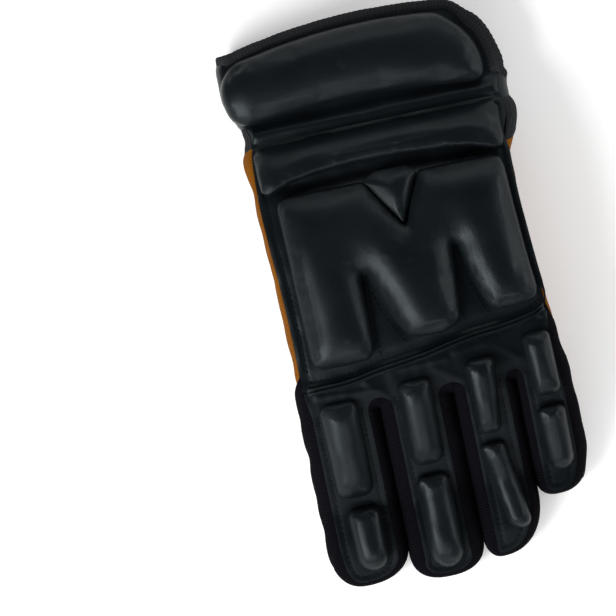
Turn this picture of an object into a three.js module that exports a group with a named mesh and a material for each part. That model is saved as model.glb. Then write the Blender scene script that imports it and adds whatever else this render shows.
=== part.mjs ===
// A padded ball hockey glove for the left hand, as an assembly of its sewn pieces.
// Millimetres. +Z is up, the fingers point to -Y, the thumb side is -X.
// The glove lies palm down with its thumb folded under the palm.

import * as THREE from "three";

// Driving sizes
const seam = 0.35;
const padSeat = 0.55;
const clothWall = 1.3;
const vinylWall = 1.6;
const knitWall = 1.1;
const elasticWall = 1.7;
const turnLength = 28;
const cuffPadHeight = 9.5;
const wristRollHeight = 9;
const backPadHeight = 9.2;
const tongueHeight = 4.6;
const fingerPadHeight = 6.8;
const frameShift = 1.6;

// The hand in sections across it. lift is the height of the palm cloth over the table,
// rise the height of the back's edge over the palm, crown what its middle adds to that.
// left and right are the outermost places, under and over how far the side wall turns in
// below and above.
const sections = [
  { y: 127, lift: 0, rise: 16, crown: 3, left: -60, right: 60, under: 9, overLeft: 4, overRight: 4 },
  { y: 112, lift: 0, rise: 18, crown: 4, left: -64, right: 61.5, under: 9, overLeft: 4, overRight: 4.5 },
  { y: 100, lift: 0, rise: 18.5, crown: 4.5, left: -63.8, right: 63, under: 9, overLeft: 4, overRight: 5 },
  { y: 90, lift: 0, rise: 18.5, crown: 4.5, left: -60.5, right: 63.5, under: 9, overLeft: 3.5, overRight: 5 },
  { y: 80, lift: 2.6, rise: 18.4, crown: 4.7, left: -57.5, right: 62.4, under: 9, overLeft: 3, overRight: 5 },
  { y: 70, lift: 6.6, rise: 18.2, crown: 4.8, left: -61, right: 64.3, under: 9, overLeft: 4.5, overRight: 5.5 },
  { y: 60, lift: 10.8, rise: 17.8, crown: 5, left: -61.2, right: 62, under: 9, overLeft: 4.2, overRight: 5 },
  { y: 50, lift: 14.4, rise: 17.4, crown: 5, left: -61.4, right: 57.6, under: 9, overLeft: 4, overRight: 2.2 },
  { y: 34, lift: 18, rise: 17, crown: 5, left: -61, right: 56.6, under: 9, overLeft: 4, overRight: 2 },
  { y: 15, lift: 19.2, rise: 17, crown: 5, left: -60.4, right: 57.4, under: 9, overLeft: 4.3, overRight: 2 },
  { y: -12, lift: 19.2, rise: 17, crown: 5, left: -60, right: 59.2, under: 9, overLeft: 4.6, overRight: 2 },
  { y: -35, lift: 19.2, rise: 17, crown: 4, left: -59.8, right: 62, under: 6, overLeft: 4, overRight: 4 },
  { y: -50, lift: 17, rise: 16.8, crown: 2.6, left: -60, right: 63.8, under: 4, overLeft: 6, overRight: 5.4 },
  { y: -65, lift: 12, rise: 16.5, crown: 1.5, left: -60, right: 64.5, under: 4, overLeft: 6, overRight: 5.5 },
  { y: -80, lift: 5.4, rise: 16, crown: 1, left: -60, right: 64.5, under: 4, overLeft: 6, overRight: 5.5 },
  { y: -95, lift: 0, rise: 15.4, crown: 0.8, left: -60, right: 64.5, under: 4, overLeft: 6, overRight: 5.5 },
  { y: -112, lift: 0, rise: 14, crown: 0.6, left: -60, right: 64.5, under: 4, overLeft: 6, overRight: 5.5 },
  { y: -131, lift: 0, rise: 9.5, crown: 0.4, left: -60, right: 64.5, under: 4, overLeft: 6, overRight: 5.5 },
];

// The fingers' outlines seen from above. leftBend and rightBend are where each side
// starts to round into the tip at tipX, tipY, and square is how square that round is.
const fingers = [
  { name: "index", left: -60, right: -24.6, leftBend: -106, rightBend: -110, tipX: -45, tipY: -127.3, square: 2.2 },
  { name: "middle", left: -23.4, right: 9.5, leftBend: -114, rightBend: -112, tipX: -8, tipY: -130.5, square: 2.5 },
  { name: "ring", left: 10.5, right: 38.2, leftBend: -108, rightBend: -101, tipX: 20, tipY: -126.8, square: 2.2 },
  { name: "little", left: 39.2, right: 64.5, leftBend: -91, rightBend: -81, tipX: 50, tipY: -104, square: 2.4 },
];
const overSide = { index: [6, 5.4], middle: [7.4, 7.5], ring: [6.6, 5.2], little: [4.4, 5.5] };
const underSide = 4;
const underTip = 5;
const overTip = 2;
const forkUnder = 9.5;
const forkOver = 5.5;
const forkY = -50.5;
const forkXs = [-24, 10, 38.7];

// Where the palm cloth's turned-up sides taper away and the knit gussets take over
const leftTaper = { under: -46, over: -28 };
const rightTaper = { under: -38, over: -18 };

// The raised finger pads: middle and half width at their wrist end and tip end
const fingerPads = [
  { name: "index_upper", x: -42.3, half: 7.3, endX: -42.2, endHalf: 7, y: -44.5, endY: -86.5 },
  { name: "index_lower", x: -40.2, half: 6.4, endX: -40.2, endHalf: 6.4, y: -93, endY: -121 },
  { name: "middle_upper", x: -6.6, half: 6.6, endX: -6.8, endHalf: 6.4, y: -41.5, endY: -78.5 },
  { name: "middle_lower", x: -7, half: 6.8, endX: -7, endHalf: 7, y: -84.5, endY: -126.5 },
  { name: "ring_upper", x: 24.5, half: 6.3, endX: 23, endHalf: 4.6, y: -38.5, endY: -70.5 },
  { name: "ring_lower", x: 22.6, half: 5.6, endX: 29.4, endHalf: 4.2, y: -76, endY: -114.5 },
  { name: "little_upper", x: 52.4, half: 5.6, endX: 52.4, endHalf: 5.4, y: -31.5, endY: -59 },
  { name: "little_lower", x: 51.4, half: 6.1, endX: 51.4, endHalf: 6, y: -65, endY: -92.5 },
];

// The folded thumb, seen from above, as rows across it
const thumbRows = [
  { y: 62, left: -45, right: -31 },
  { y: 57, left: -51, right: -23.5 },
  { y: 47, left: -55.5, right: -19 },
  { y: 32, left: -57, right: -17 },
  { y: 12, left: -56.5, right: -14 },
  { y: -4, left: -52, right: -9.5 },
  { y: -22, left: -43, right: -3.5 },
  { y: -40, left: -33, right: 3 },
  { y: -51, left: -25, right: 6.5 },
  { y: -58, left: -16, right: 4.5 },
  { y: -61, left: -8, right: -1 },
];
const thumbFloors = [
  { y: 62, floor: 3.2 },
  { y: 45, floor: 5 },
  { y: -45, floor: 5 },
  { y: -61, floor: 4 },
];
const thumbClearance = 0.5;
const thumbUnder = 3;
const thumbOver = 3;
const thumbHole = { x: -40, y: 38, halfX: 9.5, halfY: 14.5 };

// Colours, seen on the glove
const vinylBlack = { color: 0x1d2125, roughness: 0.38 };
const knitBlack = { color: 0x120f17, roughness: 0.95 };
const tanCloth = { color: 0xc47514, roughness: 0.9 };

const rad = THREE.MathUtils.degToRad;
const mix = THREE.MathUtils.lerp;

// Reads one column of a table at y, smoothly and without overshoot between its rows.
function read(rows, name, y) {
  const last = rows.length - 1;
  if (y >= rows[0].y) return rows[0][name];
  if (y <= rows[last].y) return rows[last][name];
  const i = rows.findIndex((row, k) => k < last && y >= rows[k + 1].y);
  const grade = (k) => (rows[k + 1][name] - rows[k][name]) / (rows[k + 1].y - rows[k].y);
  const slope = (k) => {
    if (k === 0 || k === last) return 0;
    const before = grade(k - 1);
    const after = grade(k);
    return before * after <= 0 ? 0 : (2 * before * after) / (before + after);
  };
  const span = rows[i + 1].y - rows[i].y;
  const t = (y - rows[i].y) / span;
  const keep = (1 + 2 * t) * (1 - t) * (1 - t);
  const bend = t * (1 - t) * (1 - t) * span * slope(i) - t * t * (1 - t) * span * slope(i + 1);
  return keep * rows[i][name] + (1 - keep) * rows[i + 1][name] + bend;
}

const lift = (y) => read(sections, "lift", y);

// Top of the back of the glove, under its pads
function back(x, y) {
  const across = Math.min(Math.abs(x) / 60, 1);
  return lift(y) + read(sections, "rise", y) + read(sections, "crown", y) * (1 - across * across);
}

// Splits every edge longer than the limit but the kept ones, then turns edges to keep the
// triangles even.
function refine(points, triangles, longest, kept = new Set()) {
  const apart = (a, b) => Math.hypot(points[a][0] - points[b][0], points[a][1] - points[b][1]);
  let faces = triangles;
  for (let pass = 0; pass < 8; pass += 1) {
    faces = evenOut(points, faces);
    const middles = new Map();
    const middle = (a, b) => {
      const key = a < b ? `${a}_${b}` : `${b}_${a}`;
      if (apart(a, b) <= longest || kept.has(key)) return -1;
      if (!middles.has(key)) {
        middles.set(key, points.length);
        points.push(points[a].map((value, k) => (value + points[b][k]) / 2));
      }
      return middles.get(key);
    };
    faces = faces.flatMap((face) => splitFace(face, middle));
    if (middles.size === 0) break;
  }
  return evenOut(points, faces);
}

function splitFace([a, b, c], middle) {
  const ab = middle(a, b);
  const bc = middle(b, c);
  const ca = middle(c, a);
  const cuts = [ab, bc, ca].filter((index) => index >= 0).length;
  if (cuts === 0) return [[a, b, c]];
  if (cuts === 3) return [[a, ab, ca], [ab, b, bc], [ca, bc, c], [ab, bc, ca]];
  if (ab < 0) return turned([b, c, a], bc, ca);
  if (bc < 0) return turned([c, a, b], ca, ab);
  return turned([a, b, c], ab, bc);
}

// A triangle cut on its first side, or on its first two
function turned([a, b, c], ab, bc) {
  if (ab < 0) return [[b, bc, a], [bc, c, a]];
  if (bc < 0) return [[a, ab, c], [ab, b, c]];
  return [[ab, b, bc], [a, ab, bc], [a, bc, c]];
}

// Turns the shared edge of two triangles where that makes both rounder.
function evenOut(points, triangles) {
  const faces = triangles.map((face) => [...face]);
  const corner = (a, b, c) => {
    const ux = points[a][0] - points[b][0];
    const uy = points[a][1] - points[b][1];
    const vx = points[c][0] - points[b][0];
    const vy = points[c][1] - points[b][1];
    return Math.atan2(Math.abs(ux * vy - uy * vx), ux * vx + uy * vy);
  };
  const area = (a, b, c) =>
    (points[b][0] - points[a][0]) * (points[c][1] - points[a][1]) -
    (points[c][0] - points[a][0]) * (points[b][1] - points[a][1]);
  for (let pass = 0; pass < 12; pass += 1) {
    const owners = new Map();
    let moved = 0;
    const busy = new Set();
    const made = new Set();
    faces.forEach((face, f) => {
      for (let k = 0; k < 3; k += 1) owners.set(`${face[k]}_${face[(k + 1) % 3]}`, [f, face[(k + 2) % 3]]);
    });
    for (const [key, [f, c]] of owners) {
      const [a, b] = key.split("_").map(Number);
      const other = owners.get(`${b}_${a}`);
      if (!other || a > b || busy.has(f) || busy.has(other[0])) continue;
      const d = other[1];
      if (corner(a, c, b) + corner(a, d, b) <= Math.PI + 0.01) continue;
      if (area(a, d, c) <= 1e-6 || area(d, b, c) <= 1e-6) continue;
      const turnedEdge = c < d ? `${c}_${d}` : `${d}_${c}`;
      if (made.has(turnedEdge) || owners.has(`${c}_${d}`) || owners.has(`${d}_${c}`)) continue;
      made.add(turnedEdge);
      faces[f] = [a, d, c];
      faces[other[0]] = [d, b, c];
      busy.add(f).add(other[0]);
      moved += 1;
    }
    if (moved === 0) break;
  }
  return faces;
}

// Moves an outline inwards, with its sharp corners cut short.
function inset(outline, distance) {
  const vectors = outline.map(([x, y]) => new THREE.Vector2(x, y));
  const sign = THREE.ShapeUtils.isClockWise(vectors) ? -1 : 1;
  return vectors.map((point, i) => {
    const before = vectors[(i + vectors.length - 1) % vectors.length];
    const after = vectors[(i + 1) % vectors.length];
    const a = point.clone().sub(before).normalize();
    const b = after.clone().sub(point).normalize();
    const normal = new THREE.Vector2(-a.y - b.y, a.x + b.x).normalize().multiplyScalar(sign);
    const square = Math.max(Math.abs(normal.x * -a.y + normal.y * a.x), 0.8);
    return [point.x + (normal.x * distance) / square, point.y + (normal.y * distance) / square];
  });
}

// Adds points to an outline so that no side of it is longer than the limit.
function divide(outline, longest) {
  return outline.flatMap(([x, y], i) => {
    const [nextX, nextY] = outline[(i + 1) % outline.length];
    const parts = Math.max(1, Math.ceil(Math.hypot(nextX - x, nextY - y) / longest));
    return Array.from({ length: parts }, (none, k) => [mix(x, nextX, k / parts), mix(y, nextY, k / parts)]);
  });
}

// Triangles that fill a loop and leave its holes open, all turning the same way
function fill(loop, holes) {
  const asVectors = (points) => points.map(([x, y]) => new THREE.Vector2(x, y));
  const all = [...loop, ...holes.flat()];
  return THREE.ShapeUtils.triangulateShape(asVectors(loop), holes.map(asVectors)).map(([a, b, c]) => {
    const area =
      (all[b][0] - all[a][0]) * (all[c][1] - all[a][1]) - (all[c][0] - all[a][0]) * (all[b][1] - all[a][1]);
    return area < 0 ? [a, c, b] : [a, b, c];
  });
}

// A flat cut piece with the finest triangles' longest side
function cutPiece(outline, { holes = [], longest = 15 } = {}) {
  const points = [...outline, ...holes.flat()].map(([x, y]) => [x, y, 1]);
  return { points, faces: refine(points, fill(outline, holes), longest) };
}

// A flat piece with a bevelled rim: its points carry a third value, 0 on the rim and 1 inside it.
function rimmedPiece(outline, bevel, longest) {
  const vectors = outline.map(([x, y]) => new THREE.Vector2(x, y));
  const turning = THREE.ShapeUtils.isClockWise(vectors) ? [...outline].reverse() : outline;
  const rim = divide(turning, longest * 0.8);
  const size = rim.length;
  const points = inset(rim, bevel).map(([x, y]) => [x, y, 1]);
  const edge = (a, b) => (a < b ? `${a}_${b}` : `${b}_${a}`);
  const kept = new Set(points.map((point, i) => edge(i, (i + 1) % size)));
  const inner = refine(points, fill(points, []), longest, kept);
  const start = points.length;
  points.push(...rim.map(([x, y]) => [x, y, 0]));
  const sides = rim.flatMap((place, i) => {
    const next = (i + 1) % size;
    return [[start + i, start + next, next], [start + i, next, i]];
  });
  return { points, faces: [...inner, ...sides] };
}

// A strip's mesh, along by across. A closed strip joins its end to its start.
function strip(along, across, closed = false) {
  const points = [];
  const faces = [];
  for (let i = 0; i < along; i += 1) {
    for (let j = 0; j < across; j += 1) points.push([i, j / (across - 1), 1]);
  }
  const rows = closed ? along : along - 1;
  for (let i = 0; i < rows; i += 1) {
    const next = (i + 1) % along;
    for (let j = 0; j + 1 < across; j += 1) {
      const a = i * across + j;
      const b = next * across + j;
      faces.push([a, b, b + 1], [a, b + 1, a + 1]);
    }
  }
  return { points, faces };
}

// Makes a closed wall from a flat piece: place(point, 0) is its outer face, place(point, 1) its inner.
function wall({ points, faces }, place) {
  const used = new Map();
  faces.flat().forEach((index) => {
    if (!used.has(index)) used.set(index, used.size);
  });
  const order = [...used.keys()];
  const count = order.length;
  const outer = order.map((index) => place(points[index], 0));
  const inner = order.map((index) => place(points[index], 1));
  const vertices = [...outer, ...inner];
  const tops = faces.map((face) => face.map((index) => used.get(index)));
  const directed = new Set(tops.flatMap(([a, b, c]) => [`${a}_${b}`, `${b}_${c}`, `${c}_${a}`]));
  const all = [...tops, ...tops.map(([a, b, c]) => [a + count, c + count, b + count])];
  for (const key of directed) {
    const [a, b] = key.split("_").map(Number);
    if (!directed.has(`${b}_${a}`)) all.push([b, a, a + count], [b, a + count, b + count]);
  }
  return facing(vertices, all);
}

// Builds the geometry with its faces pointing out.
function facing(vertices, faces) {
  let volume = 0;
  for (const [a, b, c] of faces) volume += vertices[a].dot(vertices[b].clone().cross(vertices[c]));
  const geometry = new THREE.BufferGeometry();
  const ordered = volume < 0 ? faces.map(([a, b, c]) => [a, c, b]) : faces;
  geometry.setAttribute("position", new THREE.Float32BufferAttribute(vertices.flatMap((v) => v.toArray()), 3));
  geometry.setIndex(ordered.flat());
  return geometry;
}

// Sweeps a closed section round a closed loop of places, each with an out and an up direction.
function ring(places, section) {
  const vertices = places.flatMap(({ point, out, up }) =>
    section.map(([a, b]) => point.clone().addScaledVector(out, a).addScaledVector(up, b)),
  );
  const size = section.length;
  const faces = [];
  places.forEach((place, i) => {
    const next = (i + 1) % places.length;
    for (let j = 0; j < size; j += 1) {
      const a = i * size + j;
      const b = next * size + j;
      const over = (j + 1) % size;
      faces.push([a, b, next * size + over], [a, next * size + over, i * size + over]);
    }
  });
  return facing(vertices, faces);
}

// Carries a place on the flat cloth onto the hand: flat under the palm and turned up at the sides.
function wrapHand(s, y, depth) {
  const under = read(sections, "under", y);
  const flatLeft = read(sections, "left", y) + under;
  const flatRight = read(sections, "right", y) - under;
  const side = s < flatLeft ? -1 : 1;
  const past = side < 0 ? flatLeft - s : s - flatRight;
  if (past <= 0) return new THREE.Vector3(s, y, lift(y) + depth);
  const angle = (past / turnLength - 0.5) * Math.PI;
  const edge = side < 0 ? flatLeft - under : flatRight + under;
  const over = read(sections, side < 0 ? "overLeft" : "overRight", y);
  const turn = (angle < 0 ? under : over) * (1 - Math.cos(angle)) + depth * Math.cos(angle);
  const x = edge - side * turn;
  const height = back(edge, y) - lift(y);
  return new THREE.Vector3(x, y, lift(y) + (height * (1 + Math.sin(angle))) / 2 - depth * Math.sin(angle));
}

const hand = new THREE.Group();
hand.position.y = frameShift;

function add(name, geometry, finish) {
  geometry.computeVertexNormals();
  const mesh = new THREE.Mesh(geometry, new THREE.MeshStandardMaterial({ ...finish, metalness: 0 }));
  mesh.name = name;
  hand.add(mesh);
}

// Places round one finger, each a function of height: 0 at the palm cloth, 1 at the back strip.
function fingerEdge(finger) {
  const order = fingers.indexOf(finger);
  const [overLeft, overRight] = overSide[finger.name];
  const stations = [];
  const outerLeg = (share, side) => (height) => {
    const taper = side < 0 ? leftTaper : rightTaper;
    const y = mix(mix(taper.under, taper.over, height) - 0.6, -62, share);
    return {
      x: read(sections, side < 0 ? "left" : "right", y),
      y,
      nx: side,
      ny: 0,
      under: read(sections, "under", y),
      over: read(sections, side < 0 ? "overLeft" : "overRight", y),
    };
  };
  const place = (x, y, nx, ny, over, fork) => () => ({
    x,
    y,
    nx,
    ny,
    under: mix(mix(underSide, underTip, ny * ny), forkUnder, fork),
    over: mix(mix(over, overTip, fork > 0 ? 0 : ny * ny), forkOver, fork),
  });
  const forkTurn = (side, forkX, over) =>
    [90, 60, 30].map((degrees) => {
      const angle = rad(90 - degrees);
      const reach = (side < 0 ? finger.left - forkX : forkX - finger.right) - seam / 2;
      const x = forkX - side * (seam / 2 + reach * Math.sin(angle));
      const y = forkY - reach * (1 - Math.cos(angle));
      return place(x, y, side * Math.sin(angle), -Math.cos(angle), over, Math.cos(angle) ** 2);
    });
  const tipRound = (side, bend, edge, over) =>
    [0, 18, 36, 54, 72].map((degrees) => {
      const c = Math.cos(rad(degrees));
      const s = Math.sin(rad(degrees));
      const wide = Math.abs(finger.tipX - edge);
      const long = bend - finger.tipY;
      const power = 2 / finger.square;
      const normal = new THREE.Vector2(side * c ** (2 - power) / wide, -(s ** (2 - power)) / long).normalize();
      const x = finger.tipX + side * wide * c ** power;
      return place(x, bend - long * s ** power, normal.x, normal.y, over, 0);
    });
  const sideRun = (side, edge, bend, over) =>
    [0.04, 0.35, 0.7].map((share) => place(edge, mix(forkY - 1, bend, share), side, 0, over, 0));

  if (order === 0) stations.push(...[0, 0.25, 0.5, 0.75, 1].map((share) => outerLeg(share, -1)));
  else stations.push(...forkTurn(-1, forkXs[order - 1], overLeft));
  stations.push(...sideRun(-1, finger.left, finger.leftBend, overLeft).slice(order === 0 ? 1 : 0));
  stations.push(...tipRound(-1, finger.leftBend, finger.left, overLeft));
  stations.push(place(finger.tipX, finger.tipY, 0, -1, overLeft, 0));
  stations.push(...tipRound(1, finger.rightBend, finger.right, overRight).reverse());
  const lastLeg = order === 3;
  stations.push(
    ...sideRun(1, finger.right, finger.rightBend, overRight).slice(lastLeg ? 1 : 0).reverse(),
  );
  if (lastLeg) stations.push(...[1, 0.75, 0.5, 0.25, 0].map((share) => outerLeg(share, 1)));
  else stations.push(...forkTurn(1, forkXs[order], overRight).reverse());
  return stations;
}

// The four fingers' edge at one height, moved in by that height's turn and a seam
function allFingersEdge(height, key) {
  return [...fingers].reverse().flatMap((finger) =>
    fingerEdge(finger).reverse().map((station) => {
      const { x, y, nx, ny, [key]: turn } = station(height);
      return [x - nx * (turn + seam), y - ny * (turn + seam)];
    }),
  );
}

// Lines across the cuff's palm side, as places on the flat cloth
const elasticLower = (s) => 74 - (s + 61) * 0.13;
const elasticUpper = (s) => 85 - (s + 61) * 0.07;
const mouthLower = (s) => {
  const share = THREE.MathUtils.clamp((s + 75) / 150, 0, 1);
  return 119 - 44 * share + 14 * share * share;
};
const across = (from, to, steps, line, shift) =>
  Array.from({ length: steps + 1 }, (none, i) => {
    const s = mix(from, to, i / steps);
    return [s, line(s) + shift];
  });
const clothLeft = (y) => read(sections, "left", y) + read(sections, "under", y) - turnLength;
const clothRight = (y) => read(sections, "right", y) - read(sections, "under", y) + turnLength;

function holeLoop() {
  return Array.from({ length: 16 }, (none, i) => {
    const angle = (i / 16) * 2 * Math.PI;
    return [thumbHole.x + thumbHole.halfX * Math.cos(angle), thumbHole.y + thumbHole.halfY * Math.sin(angle)];
  });
}

// Palm cloth with its four finger fronts
function palmPanel() {
  const taperLine = (taper, side) =>
    [0.75, 0.5, 0.25].map((height) => {
      const y = mix(taper.under, taper.over, height);
      const flat = side < 0 ? clothLeft(y) + turnLength : clothRight(y) - turnLength;
      return [flat + side * turnLength * height, y];
    });
  const top = elasticLower(clothLeft(74));
  const rightTop = elasticLower(clothRight(58));
  const sideYs = (from, to, steps) => Array.from({ length: steps }, (none, i) => mix(from, to, i / steps));
  const outline = [
    ...across(clothLeft(top), clothRight(rightTop), 14, elasticLower, -seam),
    ...sideYs(rightTop - 6, rightTaper.over, 6).map((y) => [clothRight(y), y]),
    [clothRight(rightTaper.over), rightTaper.over],
    ...taperLine(rightTaper, 1),
    ...allFingersEdge(0, "under"),
    ...taperLine(leftTaper, -1).reverse(),
    [clothLeft(leftTaper.over), leftTaper.over],
    ...sideYs(leftTaper.over, top - 3, 8).slice(1).map((y) => [clothLeft(y), y]),
  ];
  const piece = cutPiece(outline, { holes: [holeLoop()], longest: 18 });
  return wall(piece, ([s, y], side) => wrapHand(s, y, side * clothWall));
}

// A band round the palm side of the wrist, between two lines on the flat cloth
function wristBand(lower, upper, thickness) {
  const outline = [
    ...across(clothLeft(lower(-80)), clothRight(lower(80)), 14, lower, seam),
    ...across(clothLeft(upper(-80)), clothRight(upper(80)), 14, upper, -seam).reverse(),
  ];
  return wall(cutPiece(outline, { longest: 14 }), ([s, y], side) => wrapHand(s, y, side * thickness));
}

// A panel of the back, whose outer face is the back surface
function backPanel(outline, thickness, longest = 17) {
  return wall(cutPiece(outline, { longest }), ([x, y], side) => new THREE.Vector3(x, y, back(x, y) - side * thickness));
}

// A pad sewn on the back: its rim starts low and its top is height above the seat
function backPad(outline, height, bevel, longest = 18) {
  const rim = 0.3;
  return wall(rimmedPiece(outline, bevel, longest), ([x, y, inside], side) => {
    const seat = back(x, y) + padSeat;
    return new THREE.Vector3(x, y, side ? seat : seat + height * mix(rim, 1, inside));
  });
}

// The seam across the knuckles, from the index side to the little side
const knuckleRows = [
  { x: -60, y: -36.5 },
  { x: -40, y: -36.2 },
  { x: -20, y: -33.5 },
  { x: 0, y: -31 },
  { x: 20, y: -27.2 },
  { x: 40, y: -25.2 },
  { x: 52, y: -23 },
  { x: 62, y: -19.5 },
];
const knuckleY = (x) => read(knuckleRows.map((row) => ({ y: -row.x, value: row.y })), "value", -x);
const backLeft = (y) => read(sections, "left", y) + read(sections, "overLeft", y) + seam;
const backRight = (y) => read(sections, "right", y) - read(sections, "overRight", y) - seam;
const creaseY = 76;
const spread = (from, to, steps) => Array.from({ length: steps + 1 }, (none, i) => mix(from, to, i / steps));

function handBack() {
  const left = backLeft(-36);
  const right = backRight(-20);
  const outline = [
    ...spread(left, right, 10).map((x) => [x, knuckleY(x) + seam]),
    ...spread(-14, 50, 5).map((y) => [backRight(y), y]),
    [54.4, 57],
    [55, creaseY],
    ...spread(50, -50, 6).map((x) => [x, creaseY]),
    [-52.5, creaseY],
    [-55.2, 70],
    ...spread(62, -32, 8).map((y) => [backLeft(y), y]),
  ];
  return backPanel(outline, vinylWall);
}

function fingerBack() {
  const left = backLeft(-38);
  const right = backRight(-22);
  const outline = [
    ...spread(left, right, 10).map((x) => [x, knuckleY(x) - seam]),
    ...allFingersEdge(1, "over").filter(([x, y]) => y < knuckleY(x) - 2),
  ];
  return backPanel(outline, vinylWall, 12);
}

function knuckleWelt() {
  const half = 1.6;
  const xs = spread(-54, 58, 14);
  const outline = [
    ...xs.map((x) => [x, knuckleY(x) - half]),
    ...xs.reverse().map((x) => [x, knuckleY(x) + half]),
  ];
  return backPad(outline, 2.2, 0.8);
}

// The main pad, with the notch at its top and the two darts at its knuckle edge
const backPadOutline = [
  [-50, 46], [-49, 49.5], [-45.5, 50.6], [-30, 50.6], [-11, 50.4], [-9, 49], [-3, 39.5], [3.2, 29.6],
  [4.6, 28.4], [5.8, 29.6], [9.6, 39.5], [14.2, 49], [16, 50.4], [34, 50.6], [49, 50.4], [52.4, 48.6],
  [53.4, 45], [54, 25], [55, 5], [56.2, -11], [55, -15.4], [51, -17], [40, -17.2], [37, -15.6],
  [34, -9.5], [31, -2], [28, 6.5], [25.6, 14.2], [24.6, 15.2], [23.9, 14], [22.6, 2], [21.2, -10],
  [20.2, -17.6], [17.6, -20.6], [12, -21.9], [2, -21.8], [-1.6, -19.6], [-5.2, -12.4], [-9.4, -2.4],
  [-14, 5.6], [-17, 9.6], [-18.2, 10], [-18.9, 8.6], [-19.6, -4], [-20.2, -18], [-21, -24.6], [-23.6, -27.6],
  [-34, -28.4], [-45, -28], [-48.6, -26], [-49.8, -21.6], [-50.2, 0], [-50.2, 24],
];

const tongueOutline = [[-7, 50], [-1.4, 41], [4.6, 31.4], [8.2, 41], [12, 50], [2.5, 50.4]];

function wristRoll() {
  const lower = [
    [-53.4, 60], [-51.6, 56.6], [-47, 55.6], [-30, 57.6], [-10, 58.6], [10, 58.4], [30, 57.4], [45, 56],
    [51, 55.4], [53.6, 58],
  ];
  const upper = [[54.2, 72], [52, 75.2], [30, 75.6], [0, 75.6], [-30, 75.4], [-50, 74.8], [-53, 71.8]];
  return backPad([...lower, ...upper], wristRollHeight, 4.2);
}

// Lines of the cuff's back: the pad's lower and upper edge and the mouth's edge
const mouthTop = (x) => 127.2 - 0.0019 * (x - 4) * (x - 4) - 2.6 * Math.max(0, (x - 36) / 16) ** 2;
const padTop = (x) => mouthTop(x) - 4.4;

function cuffFlange() {
  const tops = spread(-57, 42, 9).map((x) => [x, mouthTop(x) - 4.7]);
  const outline = [
    [-52.6, creaseY + 2 * seam], ...spread(-40, 40, 4).map((x) => [x, creaseY + 2 * seam]), [53, creaseY + 2 * seam],
    [55.4, 84], [56.2, 95], [54.6, 102], [51, 109], [46.4, 114.6], ...tops.reverse(), [-59, 104], [-56.4, 92],
    [-53.8, 82],
  ];
  return backPanel(outline, vinylWall);
}

function cuffPad() {
  const lower = [
    [-58.4, 89], [-54, 87.4], [-40, 88.6], [-20, 90.2], [0, 91], [20, 90.2], [40, 88.4], [50, 87.2], [53.6, 88.4],
    [55, 92],
  ];
  const upper = [[55, 100], [53, 106.6], [49, 111.6], [43, padTop(43)]];
  const top = spread(34, -46, 6).map((x) => [x, padTop(x) - 0.4]);
  return backPad([...lower, ...upper, ...top, [-55, 114.6], [-60, 108.6], [-61, 98]], cuffPadHeight, 4.6, 14);
}

// The knit tape round the mouth: over the back's edge, down the little side, along the palm side
function cuffBinding() {
  const backHeight = (x, y) => back(x, y) - 1;
  const backRun = spread(-54, 44, 9).map((x) => [x, mouthTop(x) - 2, backHeight(x, mouthTop(x) - 2)]);
  const palmRun = spread(50, -50, 9).map((s) => [s, mouthLower(s) - 2, 1.5]);
  const loop = [
    ...backRun,
    [51.4, 113.4, backHeight(51.4, 113)], [56.6, 107.6, backHeight(56.6, 107)], [59.4, 100, backHeight(59, 100)],
    [60.6, 93, backHeight(60, 92)], [62.2, 89, 13], [61, 88.6, 6.5], [57, 89.2, 2.2],
    ...palmRun,
    [-56.4, 117, 2.4], [-61.4, 117.4, 7], [-62, 117, 12.6], [-59.4, 117.4, 17],
  ];
  const curve = new THREE.CatmullRomCurve3(loop.map(([x, y, z]) => new THREE.Vector3(x, y, z)), true);
  const count = 50;
  const places = Array.from({ length: count }, (none, i) => {
    const point = curve.getPoint(i / count);
    const tangent = curve.getTangent(i / count);
    const up = new THREE.Vector3(point.x / 3600, 0, (point.z - 10) / 81).normalize();
    up.addScaledVector(tangent, -up.dot(tangent)).normalize();
    const out = up.clone().cross(tangent).normalize();
    if (out.y < 0) out.negate();
    return { point, out, up };
  });
  const section = [[-2, -1.4], [1, -1.4], [1.9, 0], [1, 1.4], [-2, 1.4]];
  return ring(places, section);
}

function fingerGusset(finger) {
  const stations = fingerEdge(finger);
  return wall(strip(stations.length, 6), ([i, height], side) => {
    const { x, y, nx, ny, under, over } = stations[i](height);
    const angle = (height - 0.5) * Math.PI;
    const depth = side * knitWall;
    const turn = (angle < 0 ? under : over) * (1 - Math.cos(angle)) + depth * Math.cos(angle);
    const px = x - nx * turn;
    const py = y - ny * turn;
    const floor = lift(py);
    const rise = back(px, py) - floor;
    return new THREE.Vector3(px, py, floor + (rise * (1 + Math.sin(angle))) / 2 - depth * Math.sin(angle));
  });
}

// A finger pad's outline: a round-cornered strip that may lean and narrow
function fingerPadOutline({ x, half, endX, endHalf, y, endY }) {
  const points = [];
  const corner = 0.8;
  const arc = [0, 30, 60, 90];
  for (const [end, side] of [[0, 1], [0, -1], [1, -1], [1, 1]]) {
    const forwards = end === 0 ? side > 0 : side < 0;
    for (const degrees of forwards ? arc : [...arc].reverse()) {
      const width = end === 0 ? half : endHalf;
      const centre = end === 0 ? x : endX;
      const radius = width * corner;
      const shiftX = width - radius + radius * Math.cos(rad(degrees));
      const shiftY = radius * (1 - Math.sin(rad(degrees)));
      const lean = ((endX - x) / (endY - y)) * shiftY * (end === 0 ? -1 : 1);
      points.push([centre + side * shiftX + lean, end === 0 ? y - shiftY : endY + shiftY]);
    }
  }
  return points;
}

const thumbFloor = (y) => read(thumbFloors, "floor", y);
const thumbTop = (y) => lift(y) - thumbClearance;

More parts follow.
